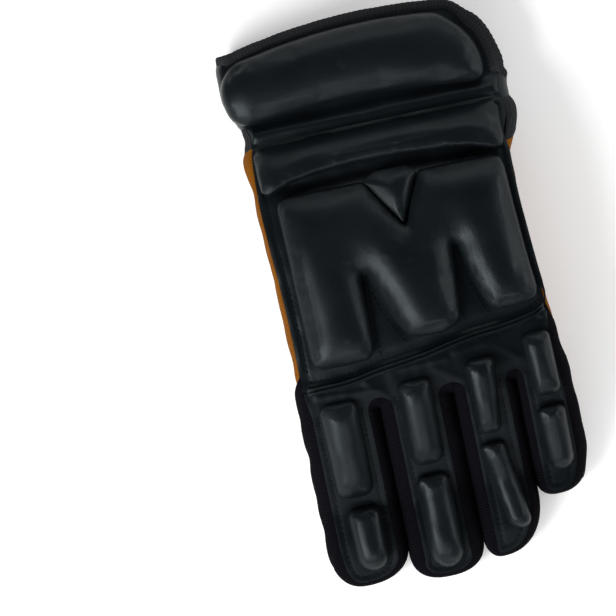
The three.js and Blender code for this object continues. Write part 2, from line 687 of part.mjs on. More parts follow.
// Places round the folded thumb, with the direction that faces away from it
function thumbEdge(count) {
  const loop = [
    ...thumbRows.map(({ y, left }) => new THREE.Vector3(left, y, 0)),
    ...[...thumbRows].reverse().map(({ y, right }) => new THREE.Vector3(right, y, 0)),
  ];
  const curve = new THREE.CatmullRomCurve3(loop, true);
  return Array.from({ length: count }, (none, i) => {
    const point = curve.getPointAt(i / count);
    const tangent = curve.getTangentAt(i / count);
    return { x: point.x, y: point.y, nx: tangent.y, ny: -tangent.x };
  });
}

const thumbOutline = (distance, count) =>
  thumbEdge(count).map(({ x, y, nx, ny }) => [x - nx * distance, y - ny * distance]);

function thumbGusset() {
  const edge = thumbEdge(30);
  return wall(strip(edge.length, 5, true), ([i, height], side) => {
    const { x, y, nx, ny } = edge[i];
    const angle = (height - 0.5) * Math.PI;
    const depth = side * knitWall;
    const turn = (angle < 0 ? thumbUnder : thumbOver) * (1 - Math.cos(angle)) + depth * Math.cos(angle);
    const py = y - ny * turn;
    const rise = thumbTop(py) - thumbFloor(py);
    const z = thumbFloor(py) + (rise * (1 + Math.sin(angle))) / 2 - depth * Math.sin(angle);
    return new THREE.Vector3(x - nx * turn, py, z);
  });
}

function thumbFront() {
  const piece = cutPiece(thumbOutline(thumbOver + padSeat, 30), { holes: [holeLoop()], longest: 14 });
  return wall(piece, ([x, y], side) => new THREE.Vector3(x, y, thumbTop(y) - side * clothWall));
}

function thumbBack() {
  const piece = cutPiece(thumbOutline(thumbUnder + padSeat, 30), { longest: 14 });
  return wall(piece, ([x, y], side) => new THREE.Vector3(x, y, thumbFloor(y) + side * vinylWall));
}

// A pad under the thumb, flat where it rests on the table
function thumbPad(outline) {
  return wall(rimmedPiece(outline, 3.4, 16), ([x, y, inside], side) => {
    const seat = thumbFloor(y) - seam;
    return new THREE.Vector3(x, y, side ? seat : seat * 0.6 * (1 - inside));
  });
}

// The crease between the thumb's two pads
const thumbCreaseStart = { x: -56, y: -8 };
const thumbCreaseSlope = 0.26;
const thumbCrease = (x) => thumbCreaseStart.y + (x - thumbCreaseStart.x) * thumbCreaseSlope;

function thumbPadOutline(upper) {
  const outline = thumbOutline(2.4, 40);
  const half = 1.6;
  const kept = outline.filter(([x, y]) => (upper ? y > thumbCrease(x) + half : y < thumbCrease(x) - half));
  const start = kept.findIndex(([x, y], i) => {
    const [px, py] = kept[(i + kept.length - 1) % kept.length];
    return Math.hypot(x - px, y - py) > 16;
  });
  return [...kept.slice(start), ...kept.slice(0, start)];
}

add("palm_panel", palmPanel(), tanCloth);
add("cuff_elastic", wristBand(elasticLower, elasticUpper, elasticWall), knitBlack);
add("cuff_band", wristBand(elasticUpper, (s) => mouthLower(s) - 4.8, vinylWall), vinylBlack);
add("cuff_binding", cuffBinding(), knitBlack);
add("cuff_flange", cuffFlange(), vinylBlack);
add("cuff_pad", cuffPad(), vinylBlack);
add("hand_back", handBack(), vinylBlack);
add("wrist_roll", wristRoll(), vinylBlack);
add("back_pad", backPad(backPadOutline, backPadHeight, 2.6), vinylBlack);
add("back_tongue", backPad(tongueOutline, tongueHeight, 1.6), vinylBlack);
add("knuckle_welt", knuckleWelt(), vinylBlack);
add("finger_back", fingerBack(), vinylBlack);
for (const finger of fingers) add(`gusset_${finger.name}`, fingerGusset(finger), knitBlack);
for (const row of fingerPads) add(`pad_${row.name}`, backPad(fingerPadOutline(row), fingerPadHeight, 2.6, 12), vinylBlack);
add("thumb_front", thumbFront(), tanCloth);
add("thumb_gusset", thumbGusset(), knitBlack);
add("thumb_back", thumbBack(), vinylBlack);
add("thumb_pad_upper", thumbPad(thumbPadOutline(true)), vinylBlack);
add("thumb_pad_lower", thumbPad(thumbPadOutline(false)), vinylBlack);

export default hand;
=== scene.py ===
"""A padded ball hockey glove for the left hand, lying palm down with its thumb folded under it.

Sizes and places are in millimetres in the part's own plan (x to the little-finger side, y to the cuff,
z up) and become metres when a mesh is made.
"""

import math

import bpy
import numpy as np
from mathutils import Matrix, Vector


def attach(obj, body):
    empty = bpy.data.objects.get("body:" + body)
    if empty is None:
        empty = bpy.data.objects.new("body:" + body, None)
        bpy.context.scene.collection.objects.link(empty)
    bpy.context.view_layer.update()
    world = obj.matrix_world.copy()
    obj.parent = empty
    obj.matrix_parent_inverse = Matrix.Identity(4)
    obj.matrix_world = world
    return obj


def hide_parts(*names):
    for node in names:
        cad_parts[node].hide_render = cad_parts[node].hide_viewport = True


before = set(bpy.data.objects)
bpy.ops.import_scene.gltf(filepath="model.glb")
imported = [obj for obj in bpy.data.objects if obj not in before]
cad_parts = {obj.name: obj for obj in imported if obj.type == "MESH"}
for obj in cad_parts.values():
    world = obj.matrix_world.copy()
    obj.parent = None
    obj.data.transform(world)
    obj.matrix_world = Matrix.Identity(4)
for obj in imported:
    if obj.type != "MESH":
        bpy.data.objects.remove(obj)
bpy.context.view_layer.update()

MM = 0.001
PLAN_SHIFT = 1.6  # from the plan to the frame, along y
PALM_CLOTH, VINYL, KNIT, ELASTIC = 1.3, 1.6, 1.1, 1.7  # thicknesses
TURN_LENGTH = 28.0  # palm cloth from the flat palm to the back's edge
SEAT, LOW_SEAT = 0.5, 0.35  # a pad's seam, or a lower one, over its panel
SEAM, TIGHT_SEAM = 0.3, 0.05  # between pieces that are sewn together
CREASE_Y = 76.0  # where the back meets the cuff
SHARP, PAD_SHARP = 55, 70  # degrees at which smooth shading breaks

# The hand in sections across it: the palm cloth's height, the back's rise over it, what the middle adds,
# the outermost places, and how far the side wall turns in below and above.
COLUMNS = ("y", "lift", "rise", "crown", "left", "right", "under", "over_left", "over_right")
SECTIONS = np.array([
    (127, 0, 16, 3, -60, 60, 9, 4, 4),
    (112, 0, 18, 4, -64, 61.5, 9, 4, 4.5),
    (100, 0, 18.5, 4.5, -63.8, 63, 9, 4, 5),
    (90, 0, 18.5, 4.5, -60.5, 63.5, 9, 3.5, 5),
    (80, 2.6, 18.4, 4.7, -57.5, 62.4, 9, 3, 5),
    (70, 6.6, 18.2, 4.8, -61, 64.3, 9, 4.5, 5.5),
    (60, 10.8, 17.8, 5, -61.2, 62, 9, 4.2, 5),
    (50, 14.4, 17.4, 5, -61.4, 58.0, 9, 4, 1.6),
    (34, 18, 17, 5, -61, 57.4, 9, 4, 1.3),
    (15, 19.2, 17, 5, -60.4, 58.2, 9, 4.3, 1.3),
    (-12, 19.2, 17, 5, -60, 60.0, 9, 4.6, 1.4),
    (-35, 19.2, 17, 4, -59.8, 62, 6, 4, 4),
    (-50, 17, 16.8, 2.6, -60, 63.8, 4, 6, 5.4),
    (-65, 12, 16.5, 1.5, -60, 64.5, 4, 6, 5.5),
    (-80, 5.4, 16, 1, -60, 64.5, 4, 6, 5.5),
    (-95, 0, 15.4, 0.8, -60, 64.5, 4, 6, 5.5),
    (-112, 0, 14, 0.6, -60, 64.5, 4, 6, 5.5),
    (-131, 0, 9.5, 0.4, -60, 64.5, 4, 6, 5.5),
], float)
LEFT_PULL = 2.0  # what the palm cloth is drawn in at the thumb side

# The fingers from above: their sides, where each side rounds into the tip, the tip, how square it is,
# and how far the knit turns in over the back on each side.
FINGERS = [
    dict(name="index", left=-60, right=-23.8, left_bend=-109, right_bend=-112, tip=(-45, -127.8), square=2.3,
         over=(6, 5.4)),
    dict(name="middle", left=-24.2, right=10.2, left_bend=-117, right_bend=-116, tip=(-8, -131.2), square=2.5,
         over=(7, 7.2)),
    dict(name="ring", left=9.8, right=38.9, left_bend=-116, right_bend=-101, tip=(17.5, -127.4), square=2.2,
         over=(6.2, 5)),
    dict(name="little", left=38.5, right=64.5, left_bend=-96, right_bend=-82, tip=(48, -104.8), square=2.4,
         over=(4.4, 5.5)),
]
# How far the knit turns in below and above, at the sides, the tips and the forks
UNDER_SIDE, UNDER_TIP, OVER_TIP = 4.0, 5.0, 2.0
FORK_UNDER, FORK_OVER, FORK_Y = 9.5, 5.5, -50.5
FORK_XS = (-24, 10, 38.7)
# Where the palm cloth's sides narrow into the fingers' knit: the ends' y
LEFT_TAPER = (-46, -28)
RIGHT_TAPER = (-38, -18)

# The raised finger pads: the middle and half width at the wrist end and at the tip end, and the ends' y
FINGER_PADS = [
    ("index_upper", -42.0, 8.9, -41.8, 8.6, -43.5, -87.5),
    ("index_lower", -40.4, 7.6, -40.2, 7.4, -92, -121.8),
    ("middle_upper", -6.6, 7.8, -6.9, 7.4, -40.5, -79.5),
    ("middle_lower", -7, 7.8, -7, 7.8, -84, -127),
    ("ring_upper", 24.3, 7.0, 23.2, 5.4, -37, -71.5),
    ("ring_lower", 22.6, 6.0, 28.6, 5.4, -75.5, -116.5),
    ("little_upper", 51.4, 6.4, 52.2, 6.2, -30.5, -60),
    ("little_lower", 51.6, 6.6, 51.6, 6.4, -64.5, -94.5),
]
FLAT_TOPPED = ("index_lower", "middle_lower", "little_lower")

# The folded thumb in rows across it: y, left, right
THUMB_ROWS = [
    (62, -45, -31), (57, -51, -23.5), (47, -55.5, -19), (32, -57, -17), (12, -56.5, -14), (-4, -52, -9.5),
    (-22, -43, -3.5), (-40, -33, 3), (-51, -25, 6.5), (-58, -16, 4.5), (-61, -8, -1),
]
THUMB_FLOORS = np.array([(62, 3.2), (45, 5), (-45, 5), (-61, 4)], float)
THUMB_MIDDLE = (-30, 5)
THUMB_HOLE = (-40, 38, 9.5, 14.5)  # its middle and half sizes
THUMB_TURN = 3.0
THUMB_CLEARANCE = 0.5

# The seam across the knuckles: x, y
KNUCKLES = np.array([(-60, -36.5), (-40, -36.2), (-20, -33.5), (0, -31), (20, -27.2), (40, -25.2), (52, -23),
                     (62, -19.5)], float)

# A pad's usual form. The skin starts a rim over its seat, its edge rounds with that power, a crown adds
# height within its reach, and melt, pucker and soft shape it. Cloth fills the pads that give a coarse
# step, with that slack and with moves up to the cap.
PAD_USUAL = dict(coarse=None, slack=-0.012, cap=1.6, rim=0.0, crown=0.0, reach=22, power=2.0, melt=38,
                 pucker=0.1, soft=0.2, soft_length=24, edges=(), powers=(), folds=())
CLOTH = dict(quality=5, mass=0.02, tension_stiffness=8, compression_stiffness=8, shear_stiffness=4,
             bending_stiffness=0.6, tension_damping=6, compression_damping=6, air_damping=2,
             use_pressure=True, uniform_pressure_force=900.0)
CLOTH_FRAMES = 16
PAD_LIFT = 0.05  # the least a pad's skin lies over its seat


def unit(value):
    """Keeps a share between 0 and 1."""
    return np.clip(value, 0, 1)


def directions(rows):
    """Rows of vectors, each made one long."""
    return rows / np.linalg.norm(rows, axis=1)[:, None]


def ridge(value, centre, width):
    """1 at the centre, falling off smoothly on both sides over about the width."""
    return np.exp(-((value - centre) / width) ** 2)


def smooth_column(ys, values, y):
    """Reads a table smoothly at y, without overshoot between its rows. The rows' ys fall."""
    y = np.asarray(y, float)
    xs, vs = ys[::-1], values[::-1]
    spans = np.diff(xs)
    grades = np.diff(vs) / spans
    slopes = np.zeros(len(xs))
    product = grades[:-1] * grades[1:]
    total = grades[:-1] + grades[1:]
    slopes[1:-1] = np.where(product > 0, 2 * product / np.where(total == 0, 1, total), 0)
    y = np.clip(y, xs[0], xs[-1])
    i = np.clip(np.searchsorted(xs, y, side="right") - 1, 0, len(spans) - 1)
    t = (y - xs[i]) / spans[i]
    keep = (1 + 2 * t) * (1 - t) ** 2
    bend = t * (1 - t) ** 2 * spans[i] * slopes[i] - t * t * (1 - t) * spans[i] * slopes[i + 1]
    return keep * vs[i] + (1 - keep) * vs[i + 1] + bend


def read(column, y):
    return smooth_column(SECTIONS[:, 0], SECTIONS[:, COLUMNS.index(column)], y)


def lift(y):
    return read("lift", y)


def back(x, y):
    """Top of the glove's back under its pads."""
    across = np.minimum(np.abs(x) / 60, 1)
    return lift(y) + read("rise", y) + read("crown", y) * (1 - across ** 2)


def knuckle_y(x):
    return smooth_column(-KNUCKLES[:, 0], KNUCKLES[:, 1], -np.asarray(x, float))


def back_left(y):
    return read("left", y) + read("over_left", y) + SEAM


def back_right(y):
    return read("right", y) - read("over_right", y) - SEAM


def wave(x, y, length, seed):
    """A smooth random surface from -1 to 1 with bumps about that long."""
    rng = np.random.default_rng(seed)
    total = np.zeros(np.broadcast(x, y).shape)
    for _ in range(7):
        angle = rng.uniform(0, 2 * math.pi)
        spread = rng.uniform(0.7, 1.5) * 2 * math.pi / length
        total = total + np.sin(spread * (x * math.cos(angle) + y * math.sin(angle)) + rng.uniform(0, 6.3))
    return total / 4.2


def folds(x, y, rows):
    """The height of soft ridges or dents along straight runs: x0, y0, x1, y1, width, height."""
    total = np.zeros(np.shape(x))
    for x0, y0, x1, y1, width, height in rows:
        along = np.array([x1 - x0, y1 - y0], float)
        length = np.hypot(*along)
        along /= length
        s = (x - x0) * along[0] + (y - y0) * along[1]
        off = np.abs(-(x - x0) * along[1] + (y - y0) * along[0])
        past = np.maximum(np.maximum(-s, s - length), 0)
        total = total + height * np.exp(-((off ** 2 + past ** 2) / width ** 2))
    return total


def loop_distance(points, loops):
    """Distance inside closed outlines (negative outside), the nearest place, and how far along it lies."""
    best = np.full(len(points), np.inf)
    near = np.zeros_like(points)
    along = np.zeros(len(points))
    inside = np.zeros(len(points), bool)
    for loop in loops:
        loop = np.asarray(loop, float)
        run = 0.0
        for a, b in zip(loop, np.roll(loop, -1, 0)):
            side = b - a
            length = np.hypot(*side)
            if length < 1e-9:
                continue
            t = unit(((points - a) @ side) / length ** 2)
            place = a + t[:, None] * side
            gap = np.hypot(*(points - place).T)
            closer = gap < best
            best[closer], near[closer] = gap[closer], place[closer]
            along[closer] = run + t[closer] * length
            run += length
            crosses = (a[1] > points[:, 1]) != (b[1] > points[:, 1])
            rise = b[1] - a[1] if b[1] != a[1] else 1e-12
            inside ^= crosses & (points[:, 0] < (b[0] - a[0]) * (points[:, 1] - a[1]) / rise + a[0])
    return np.where(inside, best, -best), near, along


def cut_piece(loops, step, edge=0.0):
    """A fine flat mesh that fills outlines: points, faces, distance from the edge and place along it.

    Within edge of the outline its points crowd towards it, for a rounded rim."""
    allpoints = np.concatenate([np.asarray(loop, float) for loop in loops])
    low, high = allpoints.min(0) - step, allpoints.max(0) + step
    xs, ys = np.arange(low[0], high[0], step), np.arange(low[1], high[1], step)
    grid = np.stack(np.meshgrid(xs, ys, indexing="ij"), -1).reshape(-1, 2)
    depth, near, along = loop_distance(grid, loops)
    kept = depth > -0.5 * step
    rim = kept & (depth < 0.5 * step)
    grid[rim] = near[rim]
    depth = np.where(rim, 0, depth)
    if edge > 0:
        crowd = kept & (depth > 0) & (depth < edge)
        share = (depth[crowd] / edge) ** 0.55
        grid[crowd] = near[crowd] + (grid[crowd] - near[crowd]) * share[:, None]
        depth[crowd] *= share
    n = len(ys)
    cell = np.add.outer(np.arange(len(xs) - 1) * n, np.arange(n - 1)).ravel()
    corners = np.stack([cell, cell + n, cell + n + 1, cell + 1], 1)
    count = kept[corners].sum(1)
    faces = [tuple(row) for row in corners[count == 4].tolist()]
    for row in corners[count == 3].tolist():
        faces.append(tuple(i for i in row if kept[i]))
    used = np.unique(np.concatenate([np.array(face) for face in faces]))
    index = np.full(len(grid), -1)
    index[used] = np.arange(len(used))
    faces = [tuple(index[list(face)].tolist()) for face in faces]
    return grid[used], faces, depth[used], along[used]


def open_edges(faces):
    """The edges that only one face has, in that face's direction."""
    seen = {}
    for face in faces:
        for a, b in zip(face, face[1:] + face[:1]):
            seen[(a, b)] = True
    return [(a, b) for a, b in seen if (b, a) not in seen]


def add_object(name, data):
    made = bpy.data.objects.new(name, data)
    bpy.context.scene.collection.objects.link(made)
    return made


def coordinates(mesh):
    places = np.zeros(len(mesh.vertices) * 3, np.float32)
    mesh.vertices.foreach_get("co", places)
    return places.reshape(-1, 3)


def in_frame(points):
    """Plan millimetres as metres in the frame."""
    return ((np.asarray(points, float) + (0, PLAN_SHIFT, 0)) * MM).tolist()


def build_mesh(name, points, faces, material, uvs=None, sharp=SHARP):
    """Makes the piece's object from plan millimetres, with smooth shading broken at sharp edges."""
    mesh = bpy.data.meshes.new(name)
    mesh.from_pydata(in_frame(points), [], faces)
    if uvs is not None:
        layer = mesh.uv_layers.new(name="cloth")
        corner = np.zeros(len(mesh.loops), int)
        mesh.loops.foreach_get("vertex_index", corner)
        layer.data.foreach_set("uv", (np.asarray(uvs, float)[corner] * MM).ravel().astype(np.float32))
    mesh.validate()
    mesh.polygons.foreach_set("use_smooth", [True] * len(mesh.polygons))
    mesh.set_sharp_from_angle(angle=math.radians(sharp))
    mesh.materials.append(material)
    fix_facing(mesh)
    return add_object(name, mesh)


def fix_facing(mesh):
    """Turns a closed mesh right side out if its volume comes out negative."""
    co = coordinates(mesh).astype(float)
    co -= co.mean(0)
    mesh.calc_loop_triangles()
    tris = np.zeros(len(mesh.loop_triangles) * 3, int)
    mesh.loop_triangles.foreach_get("vertices", tris)
    a, b, c = co[tris.reshape(-1, 3)].transpose(1, 0, 2)
    if np.einsum("ij,ij->i", a, np.cross(b, c)).sum() < 0:
        mesh.flip_normals()


def closed_wall(name, faces, outer, inner, material, uvs=None, sharp=SHARP):
    """A closed piece between two copies of one surface."""
    count = len(outer)
    every = list(faces) + [tuple(i + count for i in reversed(face)) for face in faces]
    every += [(b, a, a + count, b + count) for a, b in open_edges(faces)]
    both = None if uvs is None else np.concatenate([uvs, uvs])
    return build_mesh(name, np.concatenate([outer, inner]), every, material, both, sharp)


def strip_faces(along, across, closed=False, tube=False):
    """Faces of a strip of points, joined end to end if closed and side to side if it is a tube."""
    return [(i * across + j, (i + 1) % along * across + j, (i + 1) % along * across + (j + 1) % across,
             i * across + (j + 1) % across)
            for i in range(along - (not closed)) for j in range(across - (not tube))]


def rounded(share, power=2.3):
    """A pad's section: 0 at its seam, 1 where it is flat, and steep between."""
    t = unit(share)
    return (1 - (1 - t) ** power) ** (1 / power)


def local_value(x, y, usual, rows):
    """A pad's usual value, changed near straight runs: x0, y0, x1, y1, value."""
    total = np.full(np.shape(x), 0.06)
    value = total * usual
    for x0, y0, x1, y1, local in rows:
        weight = folds(x, y, [(x0, y0, x1, y1, 6.0, 1.0)])
        total = total + weight
        value = value + weight * local
    return value / total


def soften(values, faces, share, rounds):
    """Averages values over neighbouring points, by that share of the way, so that ridges melt."""
    pairs = np.array([pair for face in faces for pair in zip(face, face[1:] + face[:1])])
    count = np.bincount(pairs.ravel(), minlength=len(values))
    for _ in range(rounds):
        total = np.bincount(pairs[:, 0], values[pairs[:, 1]], len(values))
        total += np.bincount(pairs[:, 1], values[pairs[:, 0]], len(values))
        values = values + share * (total / count - values)
    return values


def raise_shape(x, y, inside, along, faces, form, step):
    """Height of a stuffed pad over its seat."""
    width = local_value(x, y, form["edge"], form["edges"])
    power = local_value(x, y, form["power"], form["powers"])
    body = form["height"] * rounded(inside / width, power)
    crown = form["crown"] * rounded(inside / form["reach"], 1.6)
    rounds = max(1, round(form["melt"] / step ** 2))
    height = soften(body + crown, faces, 0.9 * unit(inside / width - 0.15), rounds)
    pucker = form["pucker"] * ridge(inside, 2.0, 2.0)
    pucker = pucker * np.sin(2 * math.pi * along / 6.4 + 1.6 * wave(along, 0 * along, 19, form["seed"]))
    soft = form["soft"] * wave(x, y, form["soft_length"], form["seed"] + 50)
    height = height + (pucker + soft) * unit(inside / 2.5)
    return np.maximum(height + folds(x, y, form["folds"]) * unit(inside / 1.5), 0)


# Shader groups and materials


def new_group(name, inputs, outputs):
    """Starts a shader group. An input without a number is a vector, and every output is a number."""
    tree = bpy.data.node_groups.new(name, "ShaderNodeTree")
    for label, value in inputs.items():
        kind = "NodeSocketVector" if value is None else "NodeSocketFloat"
        socket = tree.interface.new_socket(label, in_out="INPUT", socket_type=kind)
        if value is not None:
            socket.default_value = value
    for label in outputs:
        tree.interface.new_socket(label, in_out="OUTPUT", socket_type="NodeSocketFloat")
    return tree, tree.nodes.new("NodeGroupInput").outputs


def feed(tree, target, inputs):
    """Links or sets a node's inputs."""
    for key, value in inputs.items():
        if isinstance(value, bpy.types.NodeSocket):
            tree.links.new(value, target.inputs[key])
        else:
            target.inputs[key].default_value = value


def node(tree, kind, inputs, **settings):
    made = tree.nodes.new(kind)
    for key, value in settings.items():
        setattr(made, key, value)
    feed(tree, made, inputs)
    return made


def calculate(tree, operation, a, b=0.0):
    return node(tree, "ShaderNodeMath", {0: a, 1: b}, operation=operation).outputs[0]


def times(tree, a, b):
    return calculate(tree, "MULTIPLY", a, b)


def plus(tree, a, b):
    return calculate(tree, "ADD", a, b)


def noise(tree, place, scale, detail, roughness=0.5):
    return node(tree, "ShaderNodeTexNoise",
                {"Vector": place, "Scale": scale, "Detail": detail, "Roughness": roughness}).outputs


def respan(tree, value, low, high, start=0.0, end=1.0):
    """Carries a value from low to high onto start to end."""
    return node(tree, "ShaderNodeMapRange", {0: value, 1: low, 2: high, 3: start, 4: end}).outputs[0]


def mix(tree, share, first, second, way="MIX"):
    return node(tree, "ShaderNodeMixRGB", {0: share, 1: first, 2: second}, blend_type=way).outputs[0]


def bump(tree, height, strength, distance):
    inputs = {"Height": height, "Strength": strength, "Distance": distance}
    return node(tree, "ShaderNodeBump", inputs).outputs[0]


def grain_group():
    """Vinyl grain: fine pebbles with creases between them, and a slow drift of gloss."""
    tree, given = new_group("vinyl_grain", {"Vector": None, "Pebble": 0.0009}, ("Height", "Gloss", "Wear"))
    place = given["Vector"]
    bent = mix(tree, 0.0006, place, noise(tree, place, 900.0, 2.0)["Color"], "LINEAR_LIGHT")
    cells = node(tree, "ShaderNodeTexVoronoi",
                 {"Vector": bent, "Scale": calculate(tree, "DIVIDE", 1.0, given["Pebble"])},
                 feature="DISTANCE_TO_EDGE")
    pebble = respan(tree, cells.outputs["Distance"], 0.0, 0.16)
    dimple = noise(tree, place, 420.0, 3.0)["Fac"]
    node(tree, "NodeGroupOutput", {
        "Height": plus(tree, pebble, times(tree, dimple, 1.6)),
        "Gloss": noise(tree, place, 38.0, 4.0)["Fac"],
        "Wear": respan(tree, noise(tree, place, 90.0, 6.0, 0.7)["Fac"], 0.62, 0.8),
    })
    return tree


def knit_group():
    """Fine ribs of a stretch knit, with loops along each rib."""
    tree, given = new_group("knit_ribs", {"Vector": None, "Rib": 0.0011, "Loop": 0.0008}, ("Height", "Fuzz"))
    split = node(tree, "ShaderNodeSeparateXYZ", {0: given["Vector"]}).outputs
    turn = 2 * math.pi
    across = times(tree, calculate(tree, "DIVIDE", split[0], given["Rib"]), turn)
    down = times(tree, calculate(tree, "DIVIDE", split[1], given["Loop"]), turn)
    rib = calculate(tree, "ABSOLUTE", calculate(tree, "SINE", times(tree, across, 0.5)))
    lean = plus(tree, down, times(tree, rib, 1.5))
    loops = times(tree, calculate(tree, "SINE", lean), 0.35)
    node(tree, "NodeGroupOutput", {"Height": plus(tree, rib, loops),
                                   "Fuzz": noise(tree, given["Vector"], 700.0, 4.0)["Fac"]})
    return tree


def grid_group():
    """Palm cloth: a raised grid of small lozenges in slightly wandering rows."""
    tree, given = new_group("palm_grid", {"Vector": None, "Pitch": 0.00115}, ("Height", "Gap", "Cloud"))
    place = given["Vector"]
    moved = mix(tree, 0.0012, place, noise(tree, place, 60.0, 1.0)["Color"], "LINEAR_LIGHT")
    split = node(tree, "ShaderNodeSeparateXYZ", {0: moved}).outputs
    count = calculate(tree, "DIVIDE", math.pi, given["Pitch"])
    over, down = (calculate(tree, "ABSOLUTE", calculate(tree, "SINE", times(tree, split[axis], count)))
                  for axis in (0, 1))
    bumps = calculate(tree, "POWER", times(tree, over, down), 0.6)
    node(tree, "NodeGroupOutput", {"Height": bumps, "Gap": respan(tree, bumps, 0.1, 0.65, 1.0, 0.0),
                                   "Cloud": noise(tree, place, 26.0, 5.0)["Fac"]})
    return tree


GRAIN, RIBS, GRID = grain_group(), knit_group(), grid_group()


def blank_material(name, roughness):
    material = bpy.data.materials.new(name)
    material.use_nodes = True
    shader = material.node_tree.nodes["Principled BSDF"]
    shader.inputs["Roughness"].default_value = roughness
    return material, material.node_tree, shader


def from_group(tree, group, place, **sizes):
    return node(tree, "ShaderNodeGroup", {"Vector": place, **sizes}, node_tree=group).outputs


def ramp(tree, factor, stops):
    made = node(tree, "ShaderNodeValToRGB", {0: factor})
    band = made.color_ramp.elements
    while len(band) < len(stops):
        band.new(0.5)
    for element, (place, colour) in zip(band, stops):
        element.position = place
        element.color = (*colour, 1)
    return made.outputs[0]


def cloth_place(tree):
    return node(tree, "ShaderNodeUVMap", {}, uv_map="cloth").outputs[0]


def object_place(tree):
    return node(tree, "ShaderNodeTexCoord", {}).outputs["Object"]


def vinyl_material(name, dark, light, low, high, gloss):
    """Grained vinyl: its ramp of colour, its range of roughness and its gloss."""
    material, tree, shader = blank_material(name, low)
    grain = from_group(tree, GRAIN, object_place(tree), Pebble=0.00095)
    colour = ramp(tree, grain["Gloss"], [(0.3, dark), (0.7, light)])
    rough = respan(tree, grain["Gloss"], 0.3, 0.7, low, high)
    feed(tree, shader, {
        "Base Color": mix(tree, times(tree, grain["Wear"], 0.35), colour, (0.035, 0.039, 0.042, 1)),
        "Roughness": plus(tree, rough, times(tree, grain["Wear"], 0.1)),
        "Normal": bump(tree, grain["Height"], 0.32, 0.00006),
        "Specular IOR Level": gloss,
        "Specular Tint": (0.86, 0.97, 1.0, 1),
    })
    return material


def knit_material(name, dark, light, rib, loop, depth, from_uv=True):
    """Ribbed knit or thread: its ramp of colour, the ribs' and loops' sizes and their depth."""
    material, tree, shader = blank_material(name, 0.9)
    place = cloth_place(tree) if from_uv else object_place(tree)
    ribs = from_group(tree, RIBS, place, Rib=rib, Loop=loop)
    shade = plus(tree, times(tree, ribs["Height"], 0.6), times(tree, ribs["Fuzz"], 0.5))
    feed(tree, shader, {
        "Base Color": ramp(tree, shade, [(0.15, dark), (0.9, light)]),
        "Roughness": respan(tree, ribs["Fuzz"], 0.3, 0.7, 0.82, 0.98),
        "Normal": bump(tree, ribs["Height"], 0.7, depth),
        "Specular IOR Level": 0.02,
    })
    return material


def palm_material(name):
    material, tree, shader = blank_material(name, 0.85)
    grid = from_group(tree, GRID, cloth_place(tree), Pitch=0.00115)
    base = ramp(tree, grid["Cloud"], [(0.25, (0.158, 0.050, 0.0022)), (0.55, (0.198, 0.067, 0.0031)),
                                      (0.8, (0.250, 0.095, 0.0054))])
    feed(tree, shader, {
        "Base Color": mix(tree, times(tree, grid["Gap"], 0.55), base, (0.09, 0.023, 0.0011, 1)),
        "Roughness": respan(tree, grid["Cloud"], 0.3, 0.7, 0.75, 0.92),
        "Normal": bump(tree, grid["Height"], 0.6, 0.00025),
        "Specular IOR Level": 0.06,
    })
    return material


VINYL_BLACK = vinyl_material(
    "black_vinyl", (0.0036, 0.0054, 0.0068), (0.0058, 0.0080, 0.0098), 0.32, 0.41, 0.15)
# The finger strips' vinyl: a darker copy of the black vinyl whose darker colour is painted shade, and which
# is also rougher with less gloss.
VINYL_MATT_PAINTED_SHADE = vinyl_material(
    "black_vinyl_matt_painted_shade", (0.0024, 0.0036, 0.0046), (0.0040, 0.0056, 0.0070), 0.42, 0.52, 0.09)
KNIT_BLACK = knit_material(
    "black_knit", (0.0018, 0.0017, 0.0026), (0.0046, 0.0043, 0.0062), 0.0012, 0.0009, 0.0003)
TAPE_BLACK = knit_material(
    "black_tape", (0.0165, 0.0173, 0.0190), (0.0267, 0.0282, 0.0307), 0.0016, 0.0011, 0.00012)
PALM_TAN = palm_material("palm_cloth")
THREAD = knit_material(
    "black_thread", (0.005, 0.006, 0.007), (0.013, 0.014, 0.016), 0.0004, 0.0004, 0.0001, False)
SLOTS = dict(vinyl="black_vinyl", knit="black_knit", cloth="palm_cloth")


def finish_piece(piece, slot, *nodes, fill=None):
    """Attaches the piece to the root body and hides the parts that it stands for."""
    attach(piece, "root")
    if nodes:
        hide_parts(*nodes)
    return piece


def wall_piece(part, stuff, material, faces, outer, inner, uvs=None, sharp=SHARP, fill=None):
    """A finished piece between its two skins, named for its part and its stuff."""
    piece = closed_wall(f"{part}_{stuff}", faces, outer, inner, material, uvs, sharp)
    return finish_piece(piece, SLOTS[stuff], part, fill=fill)


def at_height(flat, height):
    return np.column_stack([flat, height])


# The fingers' edges


def drawn_in(rows, turn):
    """The places of rows drawn in against their directions."""
    return rows[:, :2] - rows[:, 2:4] * turn[:, None]


